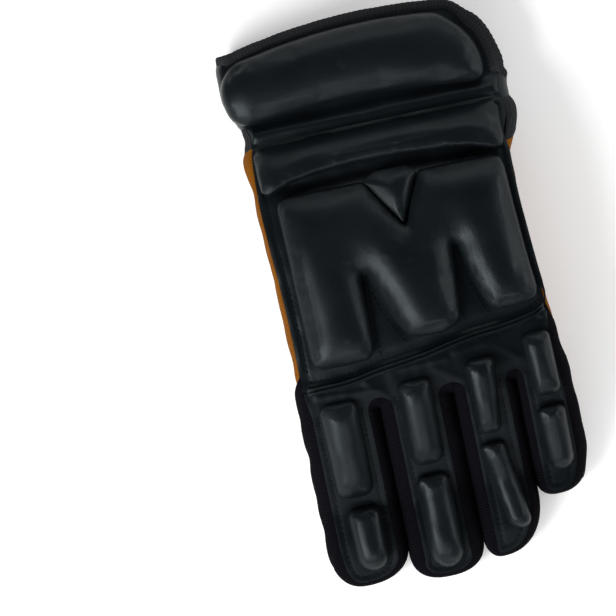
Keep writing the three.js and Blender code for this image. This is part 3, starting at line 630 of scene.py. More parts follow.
def finger_places(finger, height):
    """Rows x, y, nx, ny, under, over, round one finger, at a height from 0 (palm) to 1 (back)."""
    order = FINGERS.index(finger)
    (tip_x, tip_y), power = finger["tip"], 2 / finger["square"]

    def block(x, y, nx, ny, over, fork=0.0):
        """Rows with the turns that fit a side, a tip or, by the share fork, the web between two fingers."""
        under = UNDER_SIDE + (UNDER_TIP - UNDER_SIDE) * ny ** 2
        over = over + (OVER_TIP - over) * np.where(fork > 0, 0, ny ** 2)
        under, over = under + (FORK_UNDER - under) * fork, over + (FORK_OVER - over) * fork
        return np.stack([np.broadcast_to(part, y.shape) for part in (x, y, nx, ny, under, over)], 1)

    def quarter(count):
        angle = np.radians(np.linspace(0, 90, count, endpoint=False))
        return np.cos(angle), np.sin(angle)

    def leg(side):
        """From the wrist or the fork to the tip, on the left (-1) or the right (1)."""
        name = "left" if side < 0 else "right"
        edge, bend, over = finger[name], finger[name + "_bend"], finger["over"][side > 0]
        if order == (0 if side < 0 else 3):
            start, (low, high) = -63, LEFT_TAPER if side < 0 else RIGHT_TAPER
            y = np.linspace(low + (high - low) * height - 0.6, -62, 20)
            columns = read(name, y), y, 0 * y + side, 0 * y, read("under", y), read("over_" + name, y)
            first = np.stack(columns, 1)
        else:
            start, fork_x = FORK_Y - 1.5, FORK_XS[order - (side < 0)]
            reach = (fork_x - edge) * side - TIGHT_SEAM / 2
            c, s = quarter(15)
            x = fork_x - side * (TIGHT_SEAM / 2 + reach * s)
            first = block(x, FORK_Y - reach * (1 - c), side * s, -c, over, c ** 2)
        y = np.linspace(start, bend, 25, endpoint=False)
        c, s = quarter(25)
        wide, long = abs(tip_x - edge), bend - tip_y
        nx, ny = side * c ** (2 - power) / wide, -(s ** (2 - power)) / long
        size = np.hypot(nx, ny)
        tip = block(tip_x + side * wide * c ** power, bend - long * s ** power, nx / size, ny / size, over)
        return np.concatenate([first, block(edge, y, side, 0.0, over), tip])

    middle = block(tip_x, np.array([tip_y], float), 0.0, -1.0, finger["over"][0])
    return np.concatenate([leg(-1), middle, leg(1)[::-1]])


def fingers_edge(height, turn_column, extra=SEAM):
    """The outline of all four fingers at one height, from the little side to the index side."""
    rows = np.concatenate([finger_places(finger, height)[::-1] for finger in reversed(FINGERS)])
    return drawn_in(rows, rows[:, turn_column] + extra)


def wall_turn(turn, angle, depth):
    """How far a bulging wall turns in at an angle from -90 (below) to 90 degrees, at a depth in it."""
    return turn * (1 - np.cos(angle)) + depth * np.cos(angle)


def wall_height(low, high, angle, depth):
    return low + (high - low) * (1 + np.sin(angle)) / 2 - depth * np.sin(angle)


def knit_wall(part, ring, run, across, length, closed=False):
    """A knit wall from rings of places, which ring gives for a height, its angle and a depth."""
    heights = np.linspace(0, 1, across)
    outer, inner = (np.stack([ring(height, (height - 0.5) * math.pi, depth) for height in heights], 1)
                    .reshape(-1, 3) for depth in (0.0, KNIT))
    uvs = np.stack([np.repeat(run, across), np.tile(heights * length, len(run))], 1)
    faces = strip_faces(len(run), across, closed)
    return wall_piece(part, "knit", KNIT_BLACK, faces, outer, inner, uvs)


def finger_gusset(finger):
    """The knit wall round one finger, bulging between the palm cloth and the back strip."""
    def length_along(x, y):
        return np.cumsum(np.hypot(np.gradient(x), np.gradient(y)))

    def ring(height, angle, depth):
        rows = finger_places(finger, height)
        x, y, _, _, under, over = rows.T
        free = np.where((x < -59) | (x > 60), 0.45, 0.04)
        bulge = free * wave(length_along(x, y), height * 9, 13, 11) * math.cos(angle)
        turn = wall_turn(under if angle < 0 else over, angle, depth)
        places = drawn_in(rows, turn - np.minimum(bulge, 0.25) * (0.3 + 0.7 * math.cos(angle)))
        floor, top = lift(places[:, 1]), back(*places.T)
        return at_height(places, wall_height(floor, top, angle, depth))

    run = length_along(*finger_places(finger, 0.5).T[:2])
    return knit_wall(f"gusset_{finger['name']}", ring, run, across=17, length=22)


# Cloth that goes from the palm up round the sides


def wrap_hand(s, y, depth):
    """Carries a place on the flat cloth onto the hand: flat under the palm, turned up at the sides."""
    under = read("under", y)
    flat_left, flat_right = read("left", y) + under, read("right", y) - under
    side = np.where(s < flat_left, -1, 1)
    past = np.where(side < 0, flat_left - s, s - flat_right)
    angle = (past / TURN_LENGTH - 0.5) * math.pi
    pulled = np.where(side < 0, LEFT_PULL * unit((y + 46) / 14) * unit((68 - y) / 12), 0)
    under = under - pulled
    edge = np.where(side < 0, flat_left - under, flat_right + under)
    over = np.where(side < 0, read("over_left", y), read("over_right", y)) - pulled
    turn = wall_turn(np.where(angle < 0, under, over), angle, depth)
    x = np.where(past > 0, edge - side * turn, s)
    z = np.where(past > 0, wall_height(lift(y), back(edge, y), angle, depth), lift(y) + depth)
    return np.stack([x, y, z], 1)


def on_palm(s, y):
    return (s > cloth_left(y) + TURN_LENGTH) & (s < cloth_right(y) - TURN_LENGTH)


def elastic_lower(s):
    return 74 - (s + 61) * 0.13


def elastic_upper(s):
    return 85 - (s + 61) * 0.07


def mouth_lower(s):
    share = unit((s + 75) / 150)
    return 119 - 44 * share + 14 * share ** 2


def band_upper(s):
    """The vinyl band's end under the tape, which is lower at the little-finger side than at the thumb's."""
    thumb_side = 3.4 * unit((-46 - s) / 8) * unit((s + 80) / 12)
    little_side = 4.4 * unit((s - 52) / 10) - 4.0 * unit((s - 64) / 6)
    return mouth_lower(s) - 2.4 - little_side + thumb_side


def cloth_left(y):
    return read("left", y) + read("under", y) - TURN_LENGTH


def cloth_right(y):
    return read("right", y) - read("under", y) + TURN_LENGTH


def line_across(start, end, steps, line, shift):
    s = np.linspace(start, end, steps + 1)
    return np.stack([s, line(s) + shift], 1)


def line_down(start, end, count, line, shift=0.0):
    y = np.linspace(start, end, count)
    return np.stack([line(y) + shift, y], 1)


def hole_loop():
    angle = np.linspace(0, 2 * math.pi, 40, endpoint=False)
    x, y, half_x, half_y = THUMB_HOLE
    return np.stack([x + half_x * np.cos(angle), y + half_y * np.sin(angle)], 1)


# Creases and worn dents in the palm: x0, y0, x1, y1, width, height
PALM_FOLDS = [
    (1, 58, 5, 2, 2.2, 0.9), (-12, 40, -10, -10, 3.0, 0.5), (20, 50, 26, 0, 3.5, -0.5),
    (-30, -38, 30, -34, 3.0, 0.6), (40, 45, 34, 5, 2.4, 0.5), (-50, -52, -32, -50, 2.0, 0.5),
    (-16, -56, 4, -55, 2.0, 0.5), (16, -54, 32, -55, 2.0, 0.5),
]


def palm_piece():
    """The palm cloth in one piece with the finger fronts."""
    top = elastic_lower(cloth_left(74.0))
    right_top = elastic_lower(cloth_right(58.0))

    def taper(rows, side):
        heights = np.array([0.75, 0.5, 0.25])
        y = rows[0] + (rows[1] - rows[0]) * heights
        flat = cloth_left(y) + TURN_LENGTH if side < 0 else cloth_right(y) - TURN_LENGTH
        return np.stack([flat + side * TURN_LENGTH * heights, y], 1)

    outline = np.concatenate([
        line_across(cloth_left(top), cloth_right(right_top), 20, elastic_lower, -TIGHT_SEAM),
        line_down(right_top - 6, RIGHT_TAPER[1], 12, cloth_right),
        taper(RIGHT_TAPER, 1),
        fingers_edge(height=0, turn_column=4),
        taper(LEFT_TAPER, -1)[::-1],
        line_down(LEFT_TAPER[1], top - 3, 16, cloth_left),
    ])
    flat, faces, inside, _ = cut_piece([outline, hole_loop()], step=1.3)
    s, y = flat.T
    resting = unit(lift(y) / 3)
    crease = folds(s, y, PALM_FOLDS) * resting + 0.25 * wave(s, y, 16, 5) * resting
    outer, inner = wrap_hand(s, y, 0.0), wrap_hand(s, y, PALM_CLOTH)
    lifted = np.clip(crease, -0.35, 1.2) * unit(inside / 3)
    for skin in (outer, inner):
        skin[:, 2] += np.where(on_palm(s, y), lifted, 0)
    sides = ~on_palm(s, y) & (resting > 0)
    outer[:, 0] += np.where(sides, 0.35 * wave(y, s, 15, 8) * np.sign(s) * unit(inside / 4), 0)
    piece = closed_wall("palm_cloth_piece", faces, outer, inner, PALM_TAN, flat)
    return finish_piece(piece, "palm_cloth", "palm_panel")


def wrist_band(part, stuff, material, lower, upper, thickness, ripple):
    """A band round the palm side of the wrist, between two lines, with ripples on its outer skin."""
    outline = np.concatenate([
        line_across(cloth_left(lower(-80)), cloth_right(lower(80)), 20, lower, TIGHT_SEAM),
        line_across(cloth_left(upper(-80)), cloth_right(upper(80)), 20, upper, -TIGHT_SEAM)[::-1],
    ])
    flat, faces, inside, _ = cut_piece([outline], step=1.1)
    s, y = flat.T
    free = ~on_palm(s, y) | (unit(lift(y) / 3) > 0.3)
    rippled = wrap_hand(s, y, -ripple(s, y) * unit(inside / 2.5))
    outer = np.where(free[:, None], rippled, wrap_hand(s, y, 0.0))
    outer[:, 2] = np.maximum(outer[:, 2], 0)
    return wall_piece(part, stuff, material, faces, outer, wrap_hand(s, y, thickness), flat)


# Vinyl on the back


def back_panel(part, outline, relief, step, material=VINYL_BLACK):
    """A vinyl panel along the back, thinner towards its edge."""
    flat, faces, inside, along = cut_piece([outline], step)
    x, y = flat.T
    surface = back(x, y)
    top = surface + relief(x, y, inside, along)
    wall = 0.3 + (VINYL - 0.3) * unit(inside / 2.5)
    under = np.minimum(surface, top) - wall
    return wall_piece(part, "vinyl", material, faces, at_height(flat, top), at_height(flat, under))


def pad_mesh(outline, step, form):
    """A pad's flat mesh, its skin, and the seat that it is sewn to."""
    flat, faces, inside, along = cut_piece([outline], step, form["edge"])
    x, y = flat.T
    seat = back(x, y) + SEAT
    top = seat + PAD_LIFT + form["rim"] + raise_shape(x, y, inside, along, faces, form, step)
    return flat, faces, inside, at_height(flat, top), at_height(flat, seat)


def swell(name, outline, form):
    """Fills a coarse copy of the pad with Blender's Cloth, held at its seam, and gives each place's move."""
    flat, faces, inside, outer, inner = pad_mesh(outline, form["coarse"], form)
    piece = closed_wall(name, faces, outer, inner, VINYL_BLACK, sharp=PAD_SHARP)
    count, mesh = len(outer), piece.data
    start = coordinates(mesh)
    held = piece.vertex_groups.new(name="held")
    held.add(list(range(count, len(mesh.vertices))), 1.0, "REPLACE")
    held.add([int(i) for i in np.nonzero(inside < 0.01)[0]], 1.0, "REPLACE")
    modifier = piece.modifiers.new("fill", "CLOTH")
    cloth = modifier.settings
    for key, value in CLOTH.items():
        setattr(cloth, key, value)
    cloth.vertex_group_mass = "held"
    cloth.shrink_min = form["slack"]
    cloth.effector_weights.gravity = 0
    modifier.collision_settings.use_collision = False
    modifier.point_cache.frame_start, modifier.point_cache.frame_end = 1, CLOTH_FRAMES
    scene = bpy.context.scene
    for frame_number in range(1, CLOTH_FRAMES + 1):
        scene.frame_set(frame_number)
    end = coordinates(piece.evaluated_get(bpy.context.evaluated_depsgraph_get()).data)
    scene.frame_set(1)
    bpy.data.objects.remove(piece)
    bpy.data.meshes.remove(mesh)
    move = (end - start)[:count] / MM
    size = np.linalg.norm(move, axis=1)[:, None]
    cap = form["cap"]
    move = move * (cap * np.tanh(size / cap) / np.maximum(size, 1e-9))
    print("filled", name, "moved at most", round(float(size.max()), 2), "mm, kept",
          round(float(np.linalg.norm(move, axis=1).max()), 2), "mm")
    return flat, move


def spread_moves(flat, coarse, moves, reach):
    """Carries the coarse copy's moves onto the fine pad, blended between near points."""
    carried = np.zeros((len(flat), 3))
    for first in range(0, len(flat), 2000):
        part = flat[first:first + 2000]
        gap = ((part[:, None, :] - coarse[None, :, :]) ** 2).sum(2)
        weight = np.exp(-gap / (2 * reach ** 2)) + 1e-12
        carried[first:first + 2000] = (weight @ moves) / weight.sum(1)[:, None]
    return carried


def pad_piece(part, outline, form, step, fill):
    """A padded piece on the back, filled by Cloth where its form asks for it."""
    form = {**PAD_USUAL, **form}
    coarse_step = form["coarse"]
    flat, faces, inside, outer, inner = pad_mesh(outline, step, form)
    if coarse_step:
        coarse, moves = swell(part + "_fill", outline, form)
        carried = spread_moves(flat, coarse, moves, coarse_step * 0.55)
        outer += carried * unit(inside / (coarse_step * 0.8))[:, None]
        outer[:, 2] = np.maximum(outer[:, 2], inner[:, 2] + PAD_LIFT)
    return wall_piece(part, "vinyl", VINYL_BLACK, faces, outer, inner, sharp=PAD_SHARP, fill=fill)


def smooth_loop(points, rounds):
    """Rounds an outline's corners by cutting them."""
    loop = np.asarray(points, float)
    for _ in range(rounds):
        after = np.roll(loop, -1, 0)
        loop = np.stack([loop * 0.75 + after * 0.25, loop * 0.25 + after * 0.75], 1).reshape(-1, 2)
    return loop


def hand_back_relief(x, y, inside, along):
    """The border's sewn channel, the seams' rolled edges and slack vinyl under the pads."""
    channel = -0.4 * ridge(inside, 3.4, 0.8)
    edge_roll = 0.3 * ridge(inside, 1.4, 1.1)
    pucker = 0.08 * ridge(inside, 3.4, 1.8) * np.sin(2 * math.pi * along / 2.7)
    slack = 0.22 * wave(x, y, 14, 21)
    valley = -2.4 * ridge(y, 55.5, 3.4) * unit((50 - np.abs(x)) / 6)
    hem = -0.9 * ridge(y - knuckle_y(x), 5, 3.0)
    return (channel + edge_roll + pucker + slack + valley + hem) * unit(inside / 0.8) + 0.05


def hand_back_piece():
    left, right = float(back_left(-36.0)) - 0.6, float(back_right(-20.0)) + 0.5

    def right_edge(y):
        return back_right(y) + (1.7 * unit((58 - y) / 4) + 1.3 * unit((y - 62) / 5))

    outline = np.concatenate([
        line_across(left, right, 23, knuckle_y, SEAM),
        line_down(-14, CREASE_Y, 24, right_edge),
        line_down(CREASE_Y, -32, 28, back_left, -0.6),
    ])
    return back_panel("hand_back", outline, hand_back_relief, step=0.9)


FINGER_FOLDS = [
    (-50, -39.8, -22, -42, 1.5, 0.7), (-12, -34.6, 10, -34.2, 1.3, 0.6), (14, -32.5, 30, -31, 1.4, 0.4),
    (50, -21.5, 60, -25.5, 1.3, 0.9), (46, -26, 56, -28, 1.6, 0.5), (-27, -38, -20, -45, 1.8, 0.4),
    (5, -38, 15, -45, 1.8, 0.4), (34, -33, 42, -40, 1.8, 0.4),
]


def finger_back_relief(x, y, inside, along):
    """Sewn edges of the finger strips, gathers below the knuckle seam and slack between the pads."""
    strips = unit((-44 - y) / 8)
    channel = -0.35 * ridge(inside, 2.6, 0.8) * strips
    edge_roll = 0.12 * ridge(inside, 1.2, 1.0) * strips
    pucker = 0.07 * ridge(inside, 2.6, 1.6) * np.sin(2 * math.pi * along / 2.8) * strips
    gathers = 0.28 * ridge(knuckle_y(x) - y, 0, 8) * wave(x * 1.6, y * 0.4, 13, 31)
    slack = 0.16 * wave(x, y, 12, 33)
    total = channel + edge_roll + pucker + gathers + slack + folds(x, y, FINGER_FOLDS)
    return total * unit(inside / 0.9) + 0.1


def finger_back_piece():
    left, right = float(back_left(-38.0)) - 0.3, float(back_right(-22.0)) + 0.3
    edge = fingers_edge(height=1, turn_column=5, extra=-0.3)
    edge = edge[edge[:, 1] < knuckle_y(edge[:, 0]) - 2]
    outline = np.concatenate([line_across(left, right, 23, knuckle_y, -SEAM), edge])
    # The finger strips take the darker vinyl, painted shade.
    return back_panel("finger_back", outline, finger_back_relief, step=0.8, material=VINYL_MATT_PAINTED_SHADE)


BACK_PAD_OUTLINE = [
    (-50.6, 46), (-49.4, 50), (-45.5, 51.4), (-30, 51.6), (-11, 51.2), (-9, 49.4), (-3, 39.5), (3.2, 29.6),
    (4.6, 28.4), (5.8, 29.6), (9.6, 39.5), (14.2, 49), (16, 51.2), (34, 51.6), (49, 51.2), (52.8, 49.4),
    (54, 45), (54.6, 25), (55.6, 5), (57, -11), (55.8, -15.4), (51, -17.4), (38, -17.8), (34.6, -16),
    (31.6, -10), (29, -2.4), (26.8, 6.4), (25.3, 14.2), (24.6, 15.2), (23.9, 14), (22.6, 2), (21.2, -10),
    (20.2, -17.6), (17.6, -20.6), (12, -22.4), (0, -22.6), (-4.4, -20.6), (-8.6, -13.4), (-12.4, -3.4),
    (-15.6, 5.2), (-17.2, 9.6), (-18.2, 10), (-18.9, 8.6), (-19.6, -4), (-20.2, -18), (-21, -24.6),
    (-23.6, -27.6), (-34, -28.4), (-45, -28), (-48.6, -26), (-49.8, -21.6), (-50.2, 0), (-50.2, 24),
]
BACK_PAD_FORM = dict(
    coarse=2.4, height=6.6, edge=7.5, crown=2.6, reach=26, soft=0.22, soft_length=30, seed=3,
    edges=[(-11, 50.4, 4.6, 28.4, 1.6), (4.6, 28.4, 16, 50.4, 1.6), (-18.5, 8, -20.6, -24, 3.6),
           (-16, 8, -6, -17, 11.5), (24, 13, 20.8, -16, 3.6), (26, 13, 34, -14, 11.0),
           (-46, 50.6, -16, 50.5, 3.6), (18, 50.5, 50, 50.5, 3.6), (54, 40, 55.8, -8, 3.6),
           (-46, -28, -24, -28, 9.0), (2, -22, 16, -21, 5.0), (42, -17, 54, -16, 6.0),
           (-50, 48, -50, 5, 3.4), (-50, -2, -50, -15, 9.0)],
    powers=[(-16, 8, -6, -17, 1.35), (26, 13, 34, -14, 1.4), (-46, -28, -24, -28, 1.7),
            (-50, -2, -50, -15, 1.6)],
    folds=[(-19, 12, -22, 22, 5.5, -0.8), (24.5, 17, 25, 28, 5.5, -0.8), (4.6, 26, 5, 16, 6, -0.5),
           (13, 20, 15, 8, 2.6, 0.35)],
)
TONGUE_OUTLINE = [(-10.4, 51.4), (-3.5, 40.2), (4.2, 29.0), (9.4, 39.8), (14.6, 51.4), (10, 54.6), (-4, 54.6)]
TONGUE_FORM = dict(rim=3.2, height=4.2, edge=6.2, power=1.15, pucker=0.0, soft=0.05, melt=2.5, seed=4,
                   edges=[(-9, 50, 4.6, 29.3, 7.5), (14, 50, 5.4, 30, 4.0)])
ROLL_OUTLINE = [
    (-56, 62), (-55.6, 55.4), (-53, 53.2), (-49, 54.6), (-42, 57), (-30, 58.8), (-10, 60), (10, 59.6),
    (30, 58.2), (42, 56.4), (51, 53.6), (55, 54), (56.4, 58), (56.6, 72), (54.4, 75.6), (30, 75.8),
    (0, 75.8), (-30, 75.6), (-53, 75.2), (-56, 72.4),
]
ROLL_FORM = dict(
    coarse=2.0, slack=-0.003, height=7.8, edge=8.0, pucker=0.06, soft=0.3, soft_length=26, seed=7,
    edges=[(-50, 75.5, 54, 75.6, 16.0), (-44, 58, 44, 58, 3.6), (-56, 68, -56, 60, 4.0)],
    powers=[(-50, 75.5, 54, 75.6, 1.25)],
    folds=[(-51, 57.2, -40, 60.0, 1.9, 0.5), (-40, 60.0, -20, 62.3, 1.9, 0.7),
           (-20, 62.3, 8, 63.0, 1.9, 0.75), (8, 63.0, 30, 61.6, 1.9, 0.6), (30, 61.6, 52, 57.4, 1.9, 0.4)],
)


def knuckle_welt_piece():
    """The folded seam across the knuckles: two uneven glossy ridges side by side."""
    left, right, half, across = -54, 58, 1.9, 21
    xs = np.linspace(left, right, 225)
    x, off = np.repeat(xs, across), np.tile(np.linspace(-1, 1, across), len(xs))
    y = np.repeat(knuckle_y(xs), across) + off * half
    shift = np.repeat(0.5 * wave(xs, 0 * xs, 21, 41), across) * 0.35
    upper = ridge(off - 0.52 + shift * 0.2, 0, 0.28)
    lower = ridge(off + 0.45 + shift * 0.2, 0, 0.26)
    uneven = np.repeat(0.75 + 0.25 * wave(xs, 0 * xs, 9, 42), across)
    ends = unit(np.minimum(x - left, right - x) / 3)
    height = (0.45 + 1.5 * upper * uneven + 1.25 * lower) * np.sqrt(ends + 0.02)
    seat = back(x, y) + LOW_SEAT
    skins = (np.stack([x, y, seat + 0.1 + height * unit((1 - np.abs(off)) / 0.12)], 1),
             np.stack([x, y, seat], 1))
    return wall_piece("knuckle_welt", "vinyl", VINYL_BLACK, strip_faces(len(xs), across), *skins, sharp=80)


# The cuff


def mouth_top(x):
    return 127.2 - 0.0019 * (x - 4) ** 2 - 2.6 * np.maximum(0, (x - 36) / 16) ** 2


def cuff_flange_relief(x, y, inside, _):
    crease = -1.0 * ridge(y - CREASE_Y, 0.9, 1.3)
    roll = 2.2 * ridge(y - CREASE_Y, 5.4, 3.2)
    ripple = 0.3 * wave(x * 0.7, y * 1.4, 19, 61)
    return (crease + roll + ripple) * unit(inside / 1.6)


def cuff_flange_piece():
    """The sheet under the cuff's pad, down to the crease over the wrist."""
    outline = np.concatenate([
        line_down(CREASE_Y + 0.2, 104, 12, back_right, 1.6),
        [(56.4, 108), (51, 112.6)],
        line_across(44, -58, 15, mouth_top, -3.2),
        [(-61, 115.4)],
        line_down(112, CREASE_Y + 0.2, 14, back_left, -0.9),
    ])
    return back_panel("cuff_flange", outline, cuff_flange_relief, step=1.0)


def cuff_pad_outline():
    return np.concatenate([
        [(-62.2, 90.4), (-58.4, 87), (-54, 86), (-40, 87.4), (-20, 89), (0, 89.4), (20, 88.2), (40, 86),
         (48.6, 85), (52.4, 86), (54.4, 89.4), (54.2, 97), (52.2, 104), (48.6, 110), (44, 114.4),
         (40, float(mouth_top(40)) - 6.4)],
        line_across(36, -48, 8, mouth_top, -5.2),
        [(-56.4, 115.6), (-61.8, 110.4), (-64.6, 104), (-64.2, 97)],
    ])


CUFF_PAD_FORM = dict(
    coarse=2.4, height=8.4, edge=7.5, crown=1.2, reach=17, pucker=0.08, soft=0.3, soft_length=34, seed=9,
    edges=[(-44, 120, 34, 122, 3.2), (42, 115, 53, 102, 4.0), (54.5, 98, 54, 90, 4.5), (-50, 87, 48, 86, 4.6),
           (-62.5, 90, -62.5, 102, 3.6), (-62.5, 104, -56, 114, 4.4)],
)


def closed_curve(points, count):
    """Points at even steps round a smooth closed curve, and its directions."""
    p = np.asarray(points, float)
    fine = []
    share = np.linspace(0, 1, 40, endpoint=False)[:, None]
    for i in range(len(p)):
        a, b, c, d = p[i - 1], p[i], p[(i + 1) % len(p)], p[(i + 2) % len(p)]
        fine.append(0.5 * (2 * b + (c - a) * share + (2 * a - 5 * b + 4 * c - d) * share ** 2
                           + (3 * b - a - 3 * c + d) * share ** 3))
    fine = np.concatenate(fine)
    closed = np.concatenate([fine, fine[:1]])
    run = np.concatenate([[0], np.cumsum(np.linalg.norm(np.diff(closed, axis=0), axis=1))])
    even = np.linspace(0, run[-1], count, endpoint=False)
    places = np.stack([np.interp(even, run, closed[:, k]) for k in range(p.shape[1])], 1)
    return places, directions(np.roll(places, -1, 0) - np.roll(places, 1, 0)), even


def cuff_binding_piece():
    """The knit tape round the mouth."""
    def on_back(x, y, over=0):
        return (x, y, float(back(x, y)) - 1 + over)

    back_run = [on_back(x, float(mouth_top(x)) - 2.5) for x in np.linspace(-54, 44, 10)]
    palm_run = [(s, float(mouth_lower(s)) - 2, 1.5) for s in np.linspace(50, -50, 10)]
    loop = [
        *back_run, on_back(50.8, 113.8), on_back(55.4, 108), on_back(58, 101), on_back(59.4, 94),
        on_back(60, 88.5), (62.2, 84.6, 13), (61, 84.4, 6.5), (57, 85.6, 2.2), *palm_run,
        (-56.4, 117, 2.4), (-61.4, 117.4, 7), (-62, 117, 12.6), (-59.4, 117.4, 17),
    ]
    places, tangents, run = closed_curve(loop, count=620)
    up = directions(np.stack([places[:, 0] / 3600, 0 * run, (places[:, 2] - 10) / 81], 1))
    up = directions(up - (up * tangents).sum(1)[:, None] * tangents)
    out = np.cross(up, tangents)
    out[out[:, 1] < 0] *= -1
    angle = np.linspace(0, 2 * math.pi, 22, endpoint=False)
    c, s = np.cos(angle), np.sin(angle)
    wide = np.sign(c) * np.abs(c) ** 0.6 * 2.6
    tall = np.sign(s) * np.abs(s) ** 0.8 * 1.38
    broad = 1 + 0.5 * folds(places[:, 0], places[:, 1], [(52, 112, 61, 92, 6.0, 1.0)]) * (places[:, 2] > 12)
    sway = 1 + 0.05 * wave(run, 0 * run, 14, 95)
    rows = []
    for k, (place, o, u) in enumerate(zip(places, out, up)):
        crimp = sway[k] - 0.03 * math.sin(2 * math.pi * run[k] / 2.4)
        rows.append(place + np.outer(wide * broad[k] * crimp, o) + np.outer(tall * crimp, u))
    points = np.concatenate(rows)
    points[:, 2] = np.maximum(points[:, 2], 0)
    uvs = np.stack([np.repeat(run, len(angle)), np.tile(angle * 2.2, len(places))], 1)
    faces = strip_faces(len(places), len(angle), closed=True, tube=True)
    piece = build_mesh("cuff_binding_tape", points, faces, TAPE_BLACK, uvs)
    return finish_piece(piece, "black_knit", "cuff_binding")


# The finger pads


def finger_pad_outline(pad):
    """A pad's outline with rounded corners, leaning from its wrist end to its tip end."""
    name, x, half, end_x, end_half, y, end_y = pad
    roundness = (0.55, 1.0) if name.endswith("lower") else (0.5, 0.65)
    arc = np.radians([0, 15, 30, 45, 60, 75, 90])
    lean_rate = (end_x - x) / (end_y - y)
    points = []
    for end, side in ((0, 1), (0, -1), (1, -1), (1, 1)):
        centre, width, base, inward = ((x, half, y, -1), (end_x, end_half, end_y, 1))[end]
        radius = width * roundness[end]
        for angle in arc if side * inward < 0 else arc[::-1]:
            shift = radius * (1 - math.sin(angle))
            across = centre + side * (width - radius + radius * math.cos(angle))
            points.append((across + lean_rate * shift * inward, base + shift * inward))
    return points


def finger_pad_piece(order, pad):
    name, half = pad[0], min(pad[2], pad[4])
    top = dict(height=7.0, edge=half * 0.72) if name in FLAT_TOPPED else dict(height=7.4, edge=half + 0.8)
    form = dict(coarse=1.6, cap=0.5, slack=-0.003, power=1.7, pucker=0.04, soft=0.25, soft_length=16, melt=5,
                seed=70 + order, **top)
    return pad_piece(f"pad_{name}", finger_pad_outline(pad), form, step=0.55, fill=0.7)


# The folded thumb


def thumb_floor(y):
    return smooth_column(THUMB_FLOORS[:, 0], THUMB_FLOORS[:, 1], y)


def thumb_top(y):
    return lift(y) - THUMB_CLEARANCE


def thumb_places(count):
    loop = [(left, y) for y, left, _ in THUMB_ROWS] + [(right, y) for y, _, right in THUMB_ROWS[::-1]]
    places, tangents, run = closed_curve(loop, count)
    return places, np.stack([tangents[:, 1], -tangents[:, 0]], 1), run


def thumb_outline(inset, count=140):
    places, normals, _ = thumb_places(count)
    outward = normals * np.where(((places - THUMB_MIDDLE) * normals).sum(1) < 0, -1, 1)[:, None]
    return places - outward * inset


def thumb_gusset_piece():
    places, normals, run = thumb_places(count=180)
    if ((places - THUMB_MIDDLE) * normals).sum() < 0:
        normals = -normals

    def ring(height, angle, depth):
        turn = wall_turn(THUMB_TURN, angle, depth) - 0.2 * wave(run, 7 * height, 12, 81) * math.cos(angle)
        p = places - normals * np.asarray(turn)[:, None]
        return at_height(p, wall_height(thumb_floor(p[:, 1]), thumb_top(p[:, 1]), angle, depth))

    return knit_wall("thumb_gusset", ring, run, across=13, length=18, closed=True)


def thumb_front_piece():
    flat, faces, _, _ = cut_piece([thumb_outline(THUMB_TURN + SEAT), hole_loop()], step=1.3)
    top = thumb_top(flat[:, 1])
    return wall_piece("thumb_front", "cloth", PALM_TAN, faces, at_height(flat, top),
                      at_height(flat, top - PALM_CLOTH), flat)


def thumb_back_piece():
    flat, faces, inside, _ = cut_piece([thumb_outline(THUMB_TURN + SEAT)], step=1.2)
    x, y = flat.T
    slack = 0.2 * wave(x, y, 9, 83) * unit(inside / 2)
    return wall_piece("thumb_back", "vinyl", VINYL_BLACK, faces, at_height(flat, thumb_floor(y) + slack),
                      at_height(flat, thumb_floor(y) + VINYL))


def thumb_crease(x):
    return -8 + (x + 56) * 0.26


def thumb_pad_piece(part, above):
    """A thumb pad: rounded at its seam and pressed flat where it rests on the table."""
    loop = thumb_outline(inset=2.4, count=160)
    gap = (loop[:, 1] - thumb_crease(loop[:, 0])) * above
    kept = gap > 1.6
    start = next(i for i in range(len(loop)) if kept[i] and not kept[i - 1])
    order = [(start + i) % len(loop) for i in range(len(loop))]
    outline = smooth_loop([loop[i] for i in order if kept[i]], rounds=1)
    flat, faces, inside, along = cut_piece([outline], step=0.9, edge=4.5)
    seat = thumb_floor(flat[:, 1]) - LOW_SEAT
    pucker = 0.25 * ridge(inside, 2, 1.6) * np.sin(2 * math.pi * along / 4.5)
    low = seat * (1 - rounded(inside / 5.0, 2.0)) + np.abs(pucker) * unit(inside)
    outer = at_height(flat, np.clip(low, 0, seat - PAD_LIFT))
    return wall_piece(part, "vinyl", VINYL_BLACK, faces, outer, at_height(flat, seat), sharp=PAD_SHARP,
                      fill=0.6)


# Stitches, laid along sewn lines by Geometry Nodes


